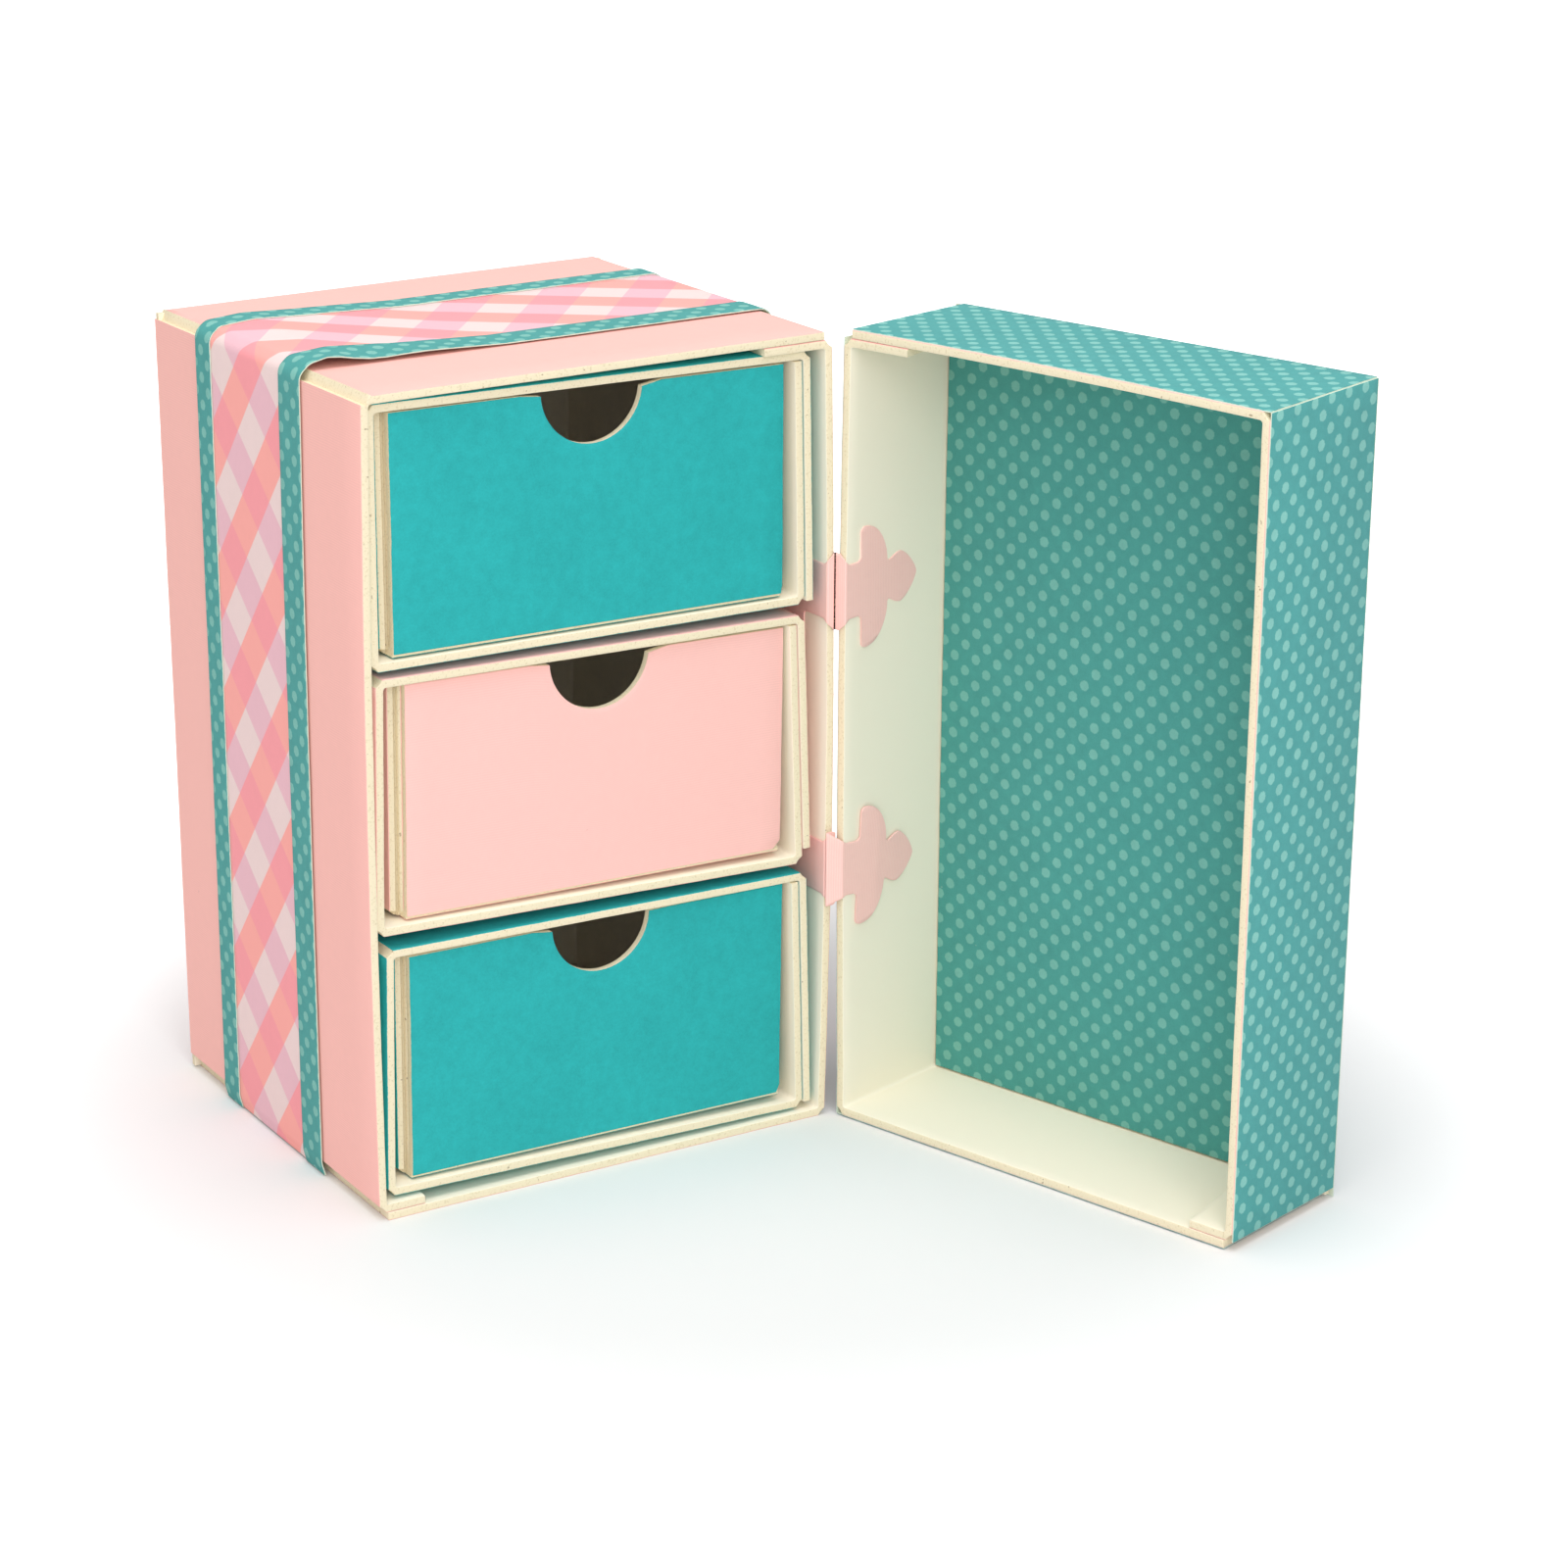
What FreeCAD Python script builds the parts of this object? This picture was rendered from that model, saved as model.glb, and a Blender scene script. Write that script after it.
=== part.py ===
import FreeCAD
import Part
import math
import os

from FreeCAD import Vector

# A small chest of hand-cut mat board: a case with three sleeved drawers, and a deep hinged
# cover. Millimetres, +Z up. The origin is the centre of the case's base on the table, the
# open front of the case faces -Y, and the cover is hinged at the case's right edge.

# Stock
board = 1.5  # mat board with one coloured face
paper = 0.25  # printed paper
glue = 0.05  # film of glue between a paper strip and what it goes over
score_depth = 0.8  # how deep the outside of a fold is scored
score_reach = 1.4  # how far the opened score runs along each face
back_score_depth = 0.4  # the scores round a tray's back hardly open
back_score_reach = 0.7
fold_radius = 0.6  # radius inside a fold
panel_end_gap = 1.7  # a wall's free panel stops this far inside the wall that it meets

# Case
case_width = 93.2
case_depth = 84.0
case_height = 150.2
tab_long = 14.2  # reach of a glued tab at its longer end
tab_short = 9.0  # and at its shorter end

# Sleeves
sleeve_names = ["bottom", "middle", "top"]
sleeve_play = 1.6  # width of the case inside, less the width of a sleeve at its foot
sleeve_side_gaps = [0.7, 0.3, 0.35]  # from the case's left wall to each sleeve's foot
sleeve_under_gaps = [0.9, 2.75, 1.35]  # below each sleeve at its left edge
sleeve_leans = [1.2, 1.4, 0.1]  # degrees, the right edge low
sleeve_splays = [2.3, 2.9, 1.1]  # how much narrower each sleeve is at its top
sleeve_tapers = [0.6, 1.3, 0.1]  # how much taller each sleeve is at its right edge
sleeve_head_gap = 0.3  # over the top sleeve at its left edge
sleeve_setback = 1.2  # behind the case's rim
sleeve_back_gap = 0.4  # in front of the case's back
flap_gap = 0.3  # between the two layers of a sleeve's right wall
flap_head_gap = 0.3  # over the inner layer
outer_layer_lifts = [0.9, 2.8, 0.5]  # the outer layer ends this far above each sleeve's underside

# Drawers
drawer_side_gaps = [3.3, 3.85, 2.4]  # from the sleeve's left wall to each drawer's foot
drawer_slacks = [6.1, 6.5, 5.2]  # how much narrower each drawer is than the foot of its bore
drawer_under_gap = 0.3
drawer_head_plays = [1.1, 0.55, 0.7]  # how much lower each drawer is than its bore
drawer_leans = [0.5, 0.8, 0.1]  # degrees, the right edge low
drawer_setbacks = [1.0, 1.0, 0.4]  # each drawer's front, behind its sleeve's
drawer_back_gap = 0.3
front_insets = [1.1, 1.0, 0.3]  # from each drawer's left wall to its front panel
front_right_inset = 0.3
drawer_tab = 12.0
notch_radius = 10.0
notch_rise = 0.3  # centre of the thumb notch above the front panel's edge

# Cover, measured over its papers
cover_narrowing = 2.2  # how much narrower than the case
cover_depth = 31.6
cover_lift = 0.2  # its underside above the table
cover_rise = 0.6  # its top above the case's top
lining_margin = 0.4

# Hinges
rim_gap = 0.8  # between the two rims when the cover is shut
pivot_reach = 1.0  # from the side faces out to the pivot line
open_angle = 106.6  # degrees, as the cover stands
crease_gap = 0.25  # each leaf stops this far from the pivot line
hinge_heights = {"upper": 102.4, "lower": 49.4}
cover_leaf_tilts = {"upper": 1.0, "lower": -4.0}  # degrees, the paper leaf set a little askew
leaf_reach = 19.6
leaf_half_height = 11.4
neck_reach = 2.9
neck_half_height = 5.1
crease_half_height = 7.2

# Band of three paper strips round the case
gingham_start = 25.5  # distances behind the case's rim
gingham_width = 35.5
front_dots_start = 21.0
front_dots_width = 8.5
back_dots_start = 58.0
back_dots_width = 6.0
band_end_lift = 0.4  # the band's right end above the table
tail_tuck = 0.6  # how far its left end turns in under the case's wall
tail_length = 2.5
shoulder_out = 1.7  # the loose fold over the left edge, in from the wall
shoulder_rise = 1.0
crest_out = 10.4  # its highest point
crest_rise = 1.9
landing_out = 38.6  # where it comes down on the top panel
tail_radius = 4.0
corner_radius = 2.0
shoulder_radius = 2.0
crest_radius = 30.0
landing_radius = 60.0
far_edge_radius = 2.0

# Sizes that follow
cover_width = case_width - cover_narrowing
cover_height = case_height + cover_rise - cover_lift
cover_board_width = cover_width - 2 * paper
cover_board_depth = cover_depth - paper
cover_board_height = cover_height - 2 * paper
sleeve_width = case_width - 2 * board - sleeve_play
sleeve_depth = case_depth - board - sleeve_setback - sleeve_back_gap
stack_gaps = sum(sleeve_under_gaps) + sleeve_head_gap
sleeve_height = (case_height - 4 * board - stack_gaps) / len(sleeve_names)
bore_width = sleeve_width - 3 * board - flap_gap
bore_height = sleeve_height - 2 * board


def shifted_path(points, distance):
    """Corners of an open path in the XZ plane, moved to its left by distance."""
    headings = [(b - a).normalize() for a, b in zip(points, points[1:])]
    lefts = [Vector(-heading.z, 0, heading.x) for heading in headings]
    moved = [points[0] + lefts[0] * distance]
    for corner, before, after in zip(points[1:], lefts, lefts[1:]):
        mitre = before + after
        moved.append(corner + mitre * (distance / mitre.dot(before)))
    moved.append(points[-1] + lefts[-1] * distance)
    return moved


def rounded_path(points, radii):
    """Edges of an open path, with a tangent arc at each corner."""
    edges = []
    start = points[0]
    for before, corner, after, radius in zip(points, points[1:], points[2:], radii):
        back = (before - corner).normalize()
        ahead = (after - corner).normalize()
        half_angle = back.getAngle(ahead) / 2
        trim = radius / math.tan(half_angle)
        enter = corner + back * trim
        leave = corner + ahead * trim
        to_centre = (back + ahead).normalize()
        middle = corner + to_centre * (radius / math.sin(half_angle) - radius)
        edges.append(Part.LineSegment(start, enter).toShape())
        edges.append(Part.Arc(enter, middle, leave).toShape())
        start = leave
    edges.append(Part.LineSegment(start, points[-1]).toShape())
    return edges


def scored_path(points):
    """Edges of a bent board's outer face: the score opens as a groove along each fold."""
    traced = [points[0]]
    for before, corner, after in zip(points, points[1:], points[2:]):
        back = (before - corner).normalize()
        ahead = (after - corner).normalize()
        traced.append(corner + back * score_reach)
        traced.append(corner + (back + ahead) * score_depth)
        traced.append(corner + ahead * score_reach)
    traced.append(points[-1])
    return Part.makePolygon(traced).Edges


def strip_between(first_side, second_side, length):
    """Solid between two paths in the XZ plane that run the same way, extruded along Y."""
    starts = [side[0].Vertexes[0].Point for side in (first_side, second_side)]
    ends = [side[-1].Vertexes[-1].Point for side in (first_side, second_side)]
    caps = [Part.LineSegment(*starts).toShape(), Part.LineSegment(*ends).toShape()]
    outline = Part.Wire(Part.__sortEdges__(first_side + second_side + caps))
    return Part.Face(outline).extrude(Vector(0, length, 0))


def bent_board(corners, length):
    """Board folded along Y. The corners are (x, z) on its outer face, inside to their left."""
    points = [Vector(x, 0, z) for x, z in corners]
    radii = [fold_radius] * (len(points) - 2)
    inner_side = rounded_path(shifted_path(points, board), radii)
    return strip_between(scored_path(points), inner_side, length)


def plate(corners, start, thickness):
    """Flat plate with (x, z) corners, from start along Y."""
    points = [Vector(x, start, z) for x, z in corners + corners[:1]]
    return Part.Face(Part.makePolygon(points)).extrude(Vector(0, thickness, 0))


def wedge(corners, start, height):
    """Upright prism with (x, y) corners, from start along Z."""
    points = [Vector(x, y, start) for x, y in corners + corners[:1]]
    return Part.Face(Part.makePolygon(points)).extrude(Vector(0, 0, height))


def score_cutter(start, end, first_inward, second_inward, depth, reach):
    """Prism that cuts the opened score along a straight outside fold."""
    outside = start - (first_inward + second_inward) * reach
    corners = [
        outside,
        start + first_inward * reach,
        start + (first_inward + second_inward) * depth,
        start + second_inward * reach,
        outside,
    ]
    return Part.Face(Part.makePolygon(corners)).extrude(end - start)


def tray_board(width, depth, height):
    """Tray folded from one blank, open at y = 0, with its hinged wall at x = 0.

    The bottom panel folds up into the hinged wall, and that wall's tab is glued under the top
    panel. The top panel folds down into the free wall, whose tab is glued on the bottom panel.
    The free wall starts one board higher, so the top panel slopes down to it by a board.
    """
    wall_top = height - board
    top_panel_end = height - board * panel_end_gap / width
    hinged_side = bent_board(
        [(tab_long, wall_top), (0, wall_top), (0, 0), (width - panel_end_gap, 0)], depth
    )
    free_side = bent_board(
        [(width - tab_long, board), (width, board), (width, wall_top), (panel_end_gap, top_panel_end)],
        depth,
    )
    top_tab_waste = wedge([(tab_long, 0), (tab_short, depth), (tab_long, depth)], wall_top - board, board)
    bottom_tab_waste = wedge(
        [(width - tab_long, 0), (width - tab_short, 0), (width - tab_long, depth)], board, board
    )
    hinged_side = hinged_side.cut(top_tab_waste)
    free_side = free_side.cut(bottom_tab_waste)

    edge = board / 2
    corner = 1.5 * board
    back = plate(
        [
            (edge, edge),
            (width - corner, edge),
            (width - edge, corner),
            (width - edge, wall_top - corner),
            (width - corner, wall_top - edge),
            (corner, height - corner),
            (edge, wall_top - edge),
        ],
        depth - board,
        board,
    )
    tray = hinged_side.fuse([free_side, back]).removeSplitter()

    forward = Vector(0, -1, 0)
    low_left = Vector(0, depth, 0)
    low_right = Vector(width, depth, 0)
    high_left = Vector(0, depth, height)
    high_right = Vector(width, depth, wall_top)
    back_folds = [
        (low_left, low_right, Vector(0, 0, 1)),
        (low_left, high_left, Vector(1, 0, 0)),
        (low_right, high_right, Vector(-1, 0, 0)),
        (high_left, high_right, Vector(0, 0, -1)),
    ]
    for start, end, inward in back_folds:
        tray = tray.cut(score_cutter(start, end, forward, inward, back_score_depth, back_score_reach))
    return tray


def on_case(shape):
    """Puts a shape from the tray's frame on the case, whose hinged wall is at the right."""
    shape = shape.mirror(Vector(0, 0, 0), Vector(1, 0, 0))
    shape.translate(Vector(case_width / 2, -case_depth / 2, 0))
    return shape


def on_cover(shape):
    """Turns a shape from the tray's frame about the pivot line, out to the open cover."""
    pivot = Vector(case_width / 2 + pivot_reach, -case_depth / 2 - rim_gap / 2, 0)
    shape = shape.copy()
    shape.translate(Vector(pivot_reach, rim_gap / 2, cover_lift))
    shape.rotate(Vector(0, 0, 0), Vector(0, 0, 1), open_angle - 180)
    shape.translate(pivot)
    return shape


def sleeve_board(index):
    """Square tube wound from one strip: outer right layer, top, left, bottom, inner right flap.

    Both layers of the right wall lean in by the sleeve's splay, over its height at the right.
    """
    right_height = sleeve_height + sleeve_tapers[index]
    lift = outer_layer_lifts[index]
    flap_face = sleeve_width - board - flap_gap
    flap_height = right_height - board - flap_head_gap
    lean_in = sleeve_splays[index] / right_height
    return bent_board(
        [
            (sleeve_width - lean_in * lift, lift),
            (sleeve_width - sleeve_splays[index], right_height),
            (0, sleeve_height),
            (0, 0),
            (flap_face, 0),
            (flap_face - lean_in * flap_height, flap_height),
        ],
        sleeve_depth,
    )


def drawer_board(index):
    """Open tray folded from one blank: the front and back stand outside the side walls' tabs."""
    drawer_width = bore_width - drawer_slacks[index]
    drawer_height = bore_height - drawer_head_plays[index]
    drawer_depth = sleeve_depth - drawer_setbacks[index] - drawer_back_gap
    front_width = drawer_width - front_insets[index] - front_right_inset
    lengthwise = bent_board(
        [(0, drawer_height), (0, 0), (drawer_depth, 0), (drawer_depth, drawer_height)], front_width
    )
    lengthwise.rotate(Vector(0, 0, 0), Vector(0, 0, 1), 90)
    lengthwise.translate(Vector(drawer_width - front_right_inset, 0, 0))

    left_side = bent_board(
        [(drawer_tab, drawer_depth - board), (0, drawer_depth - board), (0, board), (drawer_tab, board)],
        drawer_height,
    )
    left_side.rotate(Vector(0, 0, 0), Vector(1, 0, 0), -90)
    left_side.translate(Vector(0, 0, drawer_height))
    right_side = left_side.mirror(Vector(drawer_width / 2, 0, 0), Vector(1, 0, 0))
    drawer = lengthwise.fuse([left_side, right_side]).removeSplitter()

    up = Vector(0, 0, 1)
    for x, inward in [(0, Vector(1, 0, 0)), (drawer_width, Vector(-1, 0, 0))]:
        start = Vector(x, board, 0)
        end = Vector(x, drawer_depth - board, 0)
        drawer = drawer.cut(score_cutter(start, end, up, inward, score_depth, score_reach))

    notch_middle = (front_insets[index] + drawer_width - front_right_inset) / 2
    notch_centre = Vector(notch_middle, -board, drawer_height + notch_rise)
    notch = Part.makeCylinder(notch_radius, 2 * board, notch_centre, Vector(0, 1, 0))
    return drawer.cut(notch)


def in_drawer_place(shape, index):
    """Levels a drawer's shape by its own lean, and sets it in the sleeve's frame."""
    shape = shape.copy()
    shape.rotate(Vector(0, 0, 0), Vector(0, 1, 0), drawer_leans[index] - sleeve_leans[index])
    left = board + drawer_side_gaps[index]
    shape.translate(Vector(left, drawer_setbacks[index], board + drawer_under_gap))
    return shape


def in_sleeve_place(shape, index):
    """Leans a shape from a sleeve's frame, and sets it on its level in the case."""
    foot = 2 * board + sum(sleeve_under_gaps[: index + 1]) + index * sleeve_height
    shape = shape.copy()
    shape.rotate(Vector(0, 0, 0), Vector(0, 1, 0), sleeve_leans[index])
    left = board + sleeve_side_gaps[index] - case_width / 2
    shape.translate(Vector(left, sleeve_setback - case_depth / 2, foot))
    return shape


def hinge_leaf(inner_face, height, tilt):
    """Paper leaf on a hinged wall's inner face: a neck over the rim, and a lily outline.

    The outline keeps to the leaf's reach and half height. Its lower half mirrors the upper.
    """

    def at(along, up):
        return Vector(inner_face, along * leaf_reach, up * leaf_half_height)

    def neck_half(distance):
        flare = (crease_half_height - neck_half_height) / (neck_reach + inner_face + pivot_reach)
        return neck_half_height + flare * (neck_reach - distance)

    rim_front = -glue - paper
    neck_start = Vector(inner_face, rim_front, neck_half(0))
    neck_root = Vector(inner_face, neck_reach, neck_half_height)
    upper = [
        Part.LineSegment(neck_start, neck_root),
        Part.LineSegment(neck_root, at(0.20, 0.53)),
        Part.LineSegment(at(0.20, 0.53), at(0.20, 0.91)),
        Part.Arc(at(0.20, 0.91), at(0.27, 1.00), at(0.38, 0.94)),
        Part.Arc(at(0.38, 0.94), at(0.52, 0.77), at(0.58, 0.49)),
        Part.LineSegment(at(0.58, 0.49), at(0.58, 0.32)),
        Part.Arc(at(0.58, 0.32), at(0.76, 0.41), at(0.90, 0.26)),
        Part.LineSegment(at(0.90, 0.26), at(1, 0)),
    ]
    upper = [edge.toShape() for edge in upper]
    lower = [edge.mirror(Vector(0, 0, 0), Vector(0, 0, 1)) for edge in upper]
    low_start = Vector(inner_face, rim_front, -neck_half(0))
    closing = Part.LineSegment(low_start, neck_start).toShape()
    outline = Part.Wire(Part.__sortEdges__(upper + lower + [closing]))
    lily = Part.Face(outline).extrude(Vector(paper, 0, 0))
    lily.rotate(Vector(0, 0, 0), Vector(1, 0, 0), tilt)

    crease_x = crease_gap - pivot_reach
    crease_half = neck_half(crease_x - inner_face)
    over_rim = plate(
        [
            (inner_face + paper, neck_half(0)),
            (crease_x, crease_half),
            (crease_x, -crease_half),
            (inner_face + paper, -neck_half(0)),
        ],
        rim_front,
        paper,
    )
    leaf = lily.fuse(over_rim).removeSplitter()
    leaf.translate(Vector(0, 0, height))
    return leaf


def band_strip(start, width, near):
    """Paper strip round the case: up the left wall, loosely over its edge, and down the right."""
    left = -glue
    right = case_width + glue
    wall_top = case_height - board
    landing_height = wall_top + board * landing_out / case_width + glue
    route = [
        Vector(tail_tuck, 0, band_end_lift),
        Vector(left, 0, band_end_lift + tail_length),
        Vector(left, 0, wall_top - score_reach / 2),
        Vector(shoulder_out, 0, wall_top + shoulder_rise),
        Vector(crest_out, 0, wall_top + crest_rise),
        Vector(landing_out, 0, landing_height),
        Vector(right, 0, case_height + glue),
        Vector(right, 0, band_end_lift),
    ]
    radii = [
        tail_radius,
        corner_radius,
        shoulder_radius,
        crest_radius,
        -landing_radius,
        far_edge_radius,
    ]
    sides = []
    for distance in (near, near + paper):
        grown = [abs(radius + distance) for radius in radii]
        sides.append(rounded_path(shifted_path(route, distance), grown))
    strip = strip_between(*sides, width)
    strip.translate(Vector(-case_width / 2, start - case_depth / 2, 0))
    return strip


def cover_papers():
    """Papers on the cover's faces and the lining on its inner back, in the tray's frame."""
    wall_top = cover_height - paper - board
    side_depth = cover_board_depth
    free_face = cover_width - paper

    def top_at(x):
        return cover_height - paper - board * (x - paper) / cover_board_width

    top_start = paper + panel_end_gap
    top_paper = [
        (top_start, top_at(top_start)),
        (free_face, top_at(free_face)),
        (free_face, top_at(free_face) + paper),
        (top_start, top_at(top_start) + paper),
    ]
    bottom_end = free_face - panel_end_gap
    front_paper = [(0, 0), (cover_width, 0), (cover_width, wall_top), (0, wall_top + board)]
    lining_left = paper + board + lining_margin
    lining_right = free_face - board - lining_margin
    lining_low = paper + board + lining_margin
    lining_high = wall_top - board - lining_margin
    tab_end = free_face - tab_long - lining_margin
    lining = [
        (lining_left, lining_low),
        (tab_end, lining_low),
        (tab_end, lining_low + board),
        (lining_right, lining_low + board),
        (lining_right, lining_high),
        (lining_left, lining_high),
    ]
    return {
        "cover_front_paper": plate(front_paper, cover_depth - paper, paper),
        "cover_top_paper": plate(top_paper, 0, side_depth),
        "cover_bottom_paper": plate([(paper, 0), (bottom_end, 0), (bottom_end, paper), (paper, paper)], 0, side_depth),
        "cover_hinge_side_paper": plate([(0, paper), (paper, paper), (paper, wall_top), (0, wall_top)], 0, side_depth),
        "cover_free_side_paper": plate(
            [(free_face, paper + board), (cover_width, paper + board), (cover_width, wall_top), (free_face, wall_top)],
            0,
            side_depth,
        ),
        "cover_lining": plate(lining, side_depth - board - paper, paper),
    }


nodes = {}
nodes["case_board"] = on_case(tray_board(case_width, case_depth, case_height))
nodes["band_gingham"] = band_strip(gingham_start, gingham_width, 0)
nodes["band_dots_front"] = band_strip(front_dots_start, front_dots_width, paper + glue)
nodes["band_dots_back"] = band_strip(back_dots_start, back_dots_width, paper + glue)

cover_board = tray_board(cover_board_width, cover_board_depth, cover_board_height)
cover_board.translate(Vector(paper, 0, paper))
nodes["cover_board"] = on_cover(cover_board)
for name, shape in cover_papers().items():
    nodes[name] = on_cover(shape)

for level, height in hinge_heights.items():
    case_leaf = hinge_leaf(board, height, 0)
    cover_leaf = hinge_leaf(paper + board, height - cover_lift, cover_leaf_tilts[level])
    nodes["hinge_" + level + "_case_leaf"] = on_case(case_leaf)
    nodes["hinge_" + level + "_cover_leaf"] = on_cover(cover_leaf)

for index, level in enumerate(sleeve_names):
    drawer = in_drawer_place(drawer_board(index), index)
    nodes["sleeve_" + level] = in_sleeve_place(sleeve_board(index), index)
    nodes["drawer_" + level] = in_sleeve_place(drawer, index)

os.makedirs("parts", exist_ok=True)
for name, shape in nodes.items():
    if len(shape.Solids) != 1 or not shape.isValid():
        raise ValueError(name + " isn't one sound solid")
    shape.Solids[0].exportStep("parts/" + name + ".step")
    box = shape.BoundBox
    print(f"{name:24s} x {box.XMin:7.2f} {box.XMax:7.2f}  y {box.YMin:7.2f} {box.YMax:7.2f}"
          f"  z {box.ZMin:7.2f} {box.ZMax:7.2f}  volume {shape.Volume:9.1f}")
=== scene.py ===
"""Looks of a small mat-board chest: a case with three sleeved drawers, and a deep hinged cover."""
import math

import bpy
import numpy as np
from mathutils import Matrix, Vector


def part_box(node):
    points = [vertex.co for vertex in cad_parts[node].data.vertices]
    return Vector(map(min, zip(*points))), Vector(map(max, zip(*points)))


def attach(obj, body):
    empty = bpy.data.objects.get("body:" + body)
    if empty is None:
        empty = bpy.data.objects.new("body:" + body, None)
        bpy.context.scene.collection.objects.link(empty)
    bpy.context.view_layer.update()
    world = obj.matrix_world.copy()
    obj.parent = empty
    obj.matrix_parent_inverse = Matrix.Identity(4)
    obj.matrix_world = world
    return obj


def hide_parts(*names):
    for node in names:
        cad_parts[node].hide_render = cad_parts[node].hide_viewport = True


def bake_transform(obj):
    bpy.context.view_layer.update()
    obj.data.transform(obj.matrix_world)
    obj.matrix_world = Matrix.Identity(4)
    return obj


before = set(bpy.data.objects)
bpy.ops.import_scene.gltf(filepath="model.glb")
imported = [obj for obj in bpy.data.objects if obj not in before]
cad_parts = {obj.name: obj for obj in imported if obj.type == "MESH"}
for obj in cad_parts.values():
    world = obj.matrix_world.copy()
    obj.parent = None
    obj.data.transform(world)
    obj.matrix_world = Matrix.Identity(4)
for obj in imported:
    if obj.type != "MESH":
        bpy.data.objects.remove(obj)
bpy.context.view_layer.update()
mm = 0.001


# Studio
# A plain white floor and backdrop, broad soft lamps above and in front, and a camera where the
# photograph's stood. The camera's place and turn were solved from the corners of the case.

object_middle = (0.03, -0.04, 0.0)
floor_lightness = 0.82
white_from, white_at = 0.08, 0.28
floor_reach = 3.0
sky_strength = 0.496
white = (1, 1, 1, 1)


def add(tree, kind, inputs=None, **settings):
    """Adds a shader node, sets it up and links or fills its inputs."""
    made = tree.nodes.new("ShaderNode" + kind)
    for key, value in settings.items():
        setattr(made, key, value)
    for key, value in (inputs or {}).items():
        if isinstance(value, bpy.types.NodeSocket):
            tree.links.new(value, made.inputs[key])
        else:
            made.inputs[key].default_value = value
    return made


def sums(tree, operation, *values):
    """Math node's result."""
    return add(tree, "Math", dict(enumerate(values)), operation=operation).outputs[0]


def ramp(tree, value, low, high, to_low=0.0, to_high=1.0):
    """Value taken smoothly from low to high onto to_low to to_high."""
    bounds = {"Value": value, "From Min": low, "From Max": high, "To Min": to_low, "To Max": to_high}
    return add(tree, "MapRange", bounds, interpolation_type="SMOOTHSTEP").outputs["Result"]


def in_sight(tree):
    """1 for the camera's rays and for those in gloss, and 0 for all others."""
    path = add(tree, "LightPath").outputs
    return sums(tree, "MAXIMUM", path["Is Camera Ray"], path["Is Glossy Ray"])


def studio_floor(name):
    """Matte floor with a glow that grows with the distance from the object's middle, up to white.

    The glow shows only to the camera and in gloss, and lights nothing.
    """
    material = bpy.data.materials.new(name)
    material.use_nodes = True
    tree = material.node_tree
    tree.nodes.clear()
    matte = add(tree, "BsdfDiffuse", {"Color": (floor_lightness, floor_lightness, floor_lightness, 1)})
    place = add(tree, "TexCoord").outputs["Object"]
    away = add(tree, "VectorMath", {0: place, 1: object_middle}, operation="DISTANCE").outputs["Value"]
    glow = sums(tree, "MULTIPLY", in_sight(tree), ramp(tree, away, white_from, white_at))
    light = add(tree, "Emission", {"Strength": glow})
    both = add(tree, "AddShader", {0: matte.outputs[0], 1: light.outputs[0]})
    add(tree, "OutputMaterial", {"Surface": both.outputs[0]})
    return material


floor_mesh = bpy.data.meshes.new("floor")
floor_corners = [(x * floor_reach, y * floor_reach, 0) for x, y in ((-1, -1), (1, -1), (1, 1), (-1, 1))]
floor_mesh.from_pydata(floor_corners, [], [(0, 1, 2, 3)])
floor_mesh.materials.append(studio_floor("floor white"))
floor = bpy.data.objects.new("floor", floor_mesh)
bpy.context.scene.collection.objects.link(floor)

world = bpy.data.worlds.new("studio")
bpy.context.scene.world = world
world.use_nodes = True
sky = world.node_tree
sky.nodes.clear()
strength = add(sky, "Mix", {"Factor": in_sight(sky), "A": sky_strength, "B": 1.0}).outputs[0]
backdrop = add(sky, "Background", {"Color": white, "Strength": strength})
add(sky, "OutputWorld", {"Surface": backdrop.outputs[0]})


def soft_lamp(name, place, target, size, power):
    """Square area lamp of that size in metres, at place and turned to target."""
    data = bpy.data.lights.new(name, "AREA")
    data.size = size
    data.energy = power
    lamp = bpy.data.objects.new(name, data)
    lamp.location = place
    lamp.rotation_euler = (Vector(target) - Vector(place)).to_track_quat("-Z", "Y").to_euler()
    bpy.context.scene.collection.objects.link(lamp)


soft_lamp("overhead lamp", place=(-0.15, -0.25, 1.1), target=(0.03, -0.03, 0.05), size=0.9, power=8.0)
soft_lamp("front lamp", place=(-0.45, -1.1, 0.62), target=(0.03, -0.03, 0.08), size=0.7, power=6.1)

camera_place = Vector((-0.31511, -0.6021, 0.28733))
camera_right = Vector((0.84760338, -0.5305968, 0.00596227))
camera_up = Vector((0.16260481, 0.27041637, 0.94891236))
camera_forward = Vector((0.50510216, 0.80333183, -0.31548342))
camera_data = bpy.data.cameras.new("camera")
camera_data.sensor_width = 36
camera_data.lens = 87.81
camera = bpy.data.objects.new("camera", camera_data)
camera_turn = Matrix((camera_right, camera_up, -camera_forward)).transposed().to_4x4()
camera.matrix_world = Matrix.Translation(camera_place) @ camera_turn
bpy.context.scene.collection.objects.link(camera)
bpy.context.scene.camera = camera
bpy.context.scene.view_settings.view_transform = "Standard"


# Case
# One blank of mat board, pink on one face and cream on the other, scored and folded into a box with
# an open front. One tab is glued under the top panel, and the other on the bottom panel.

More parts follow.
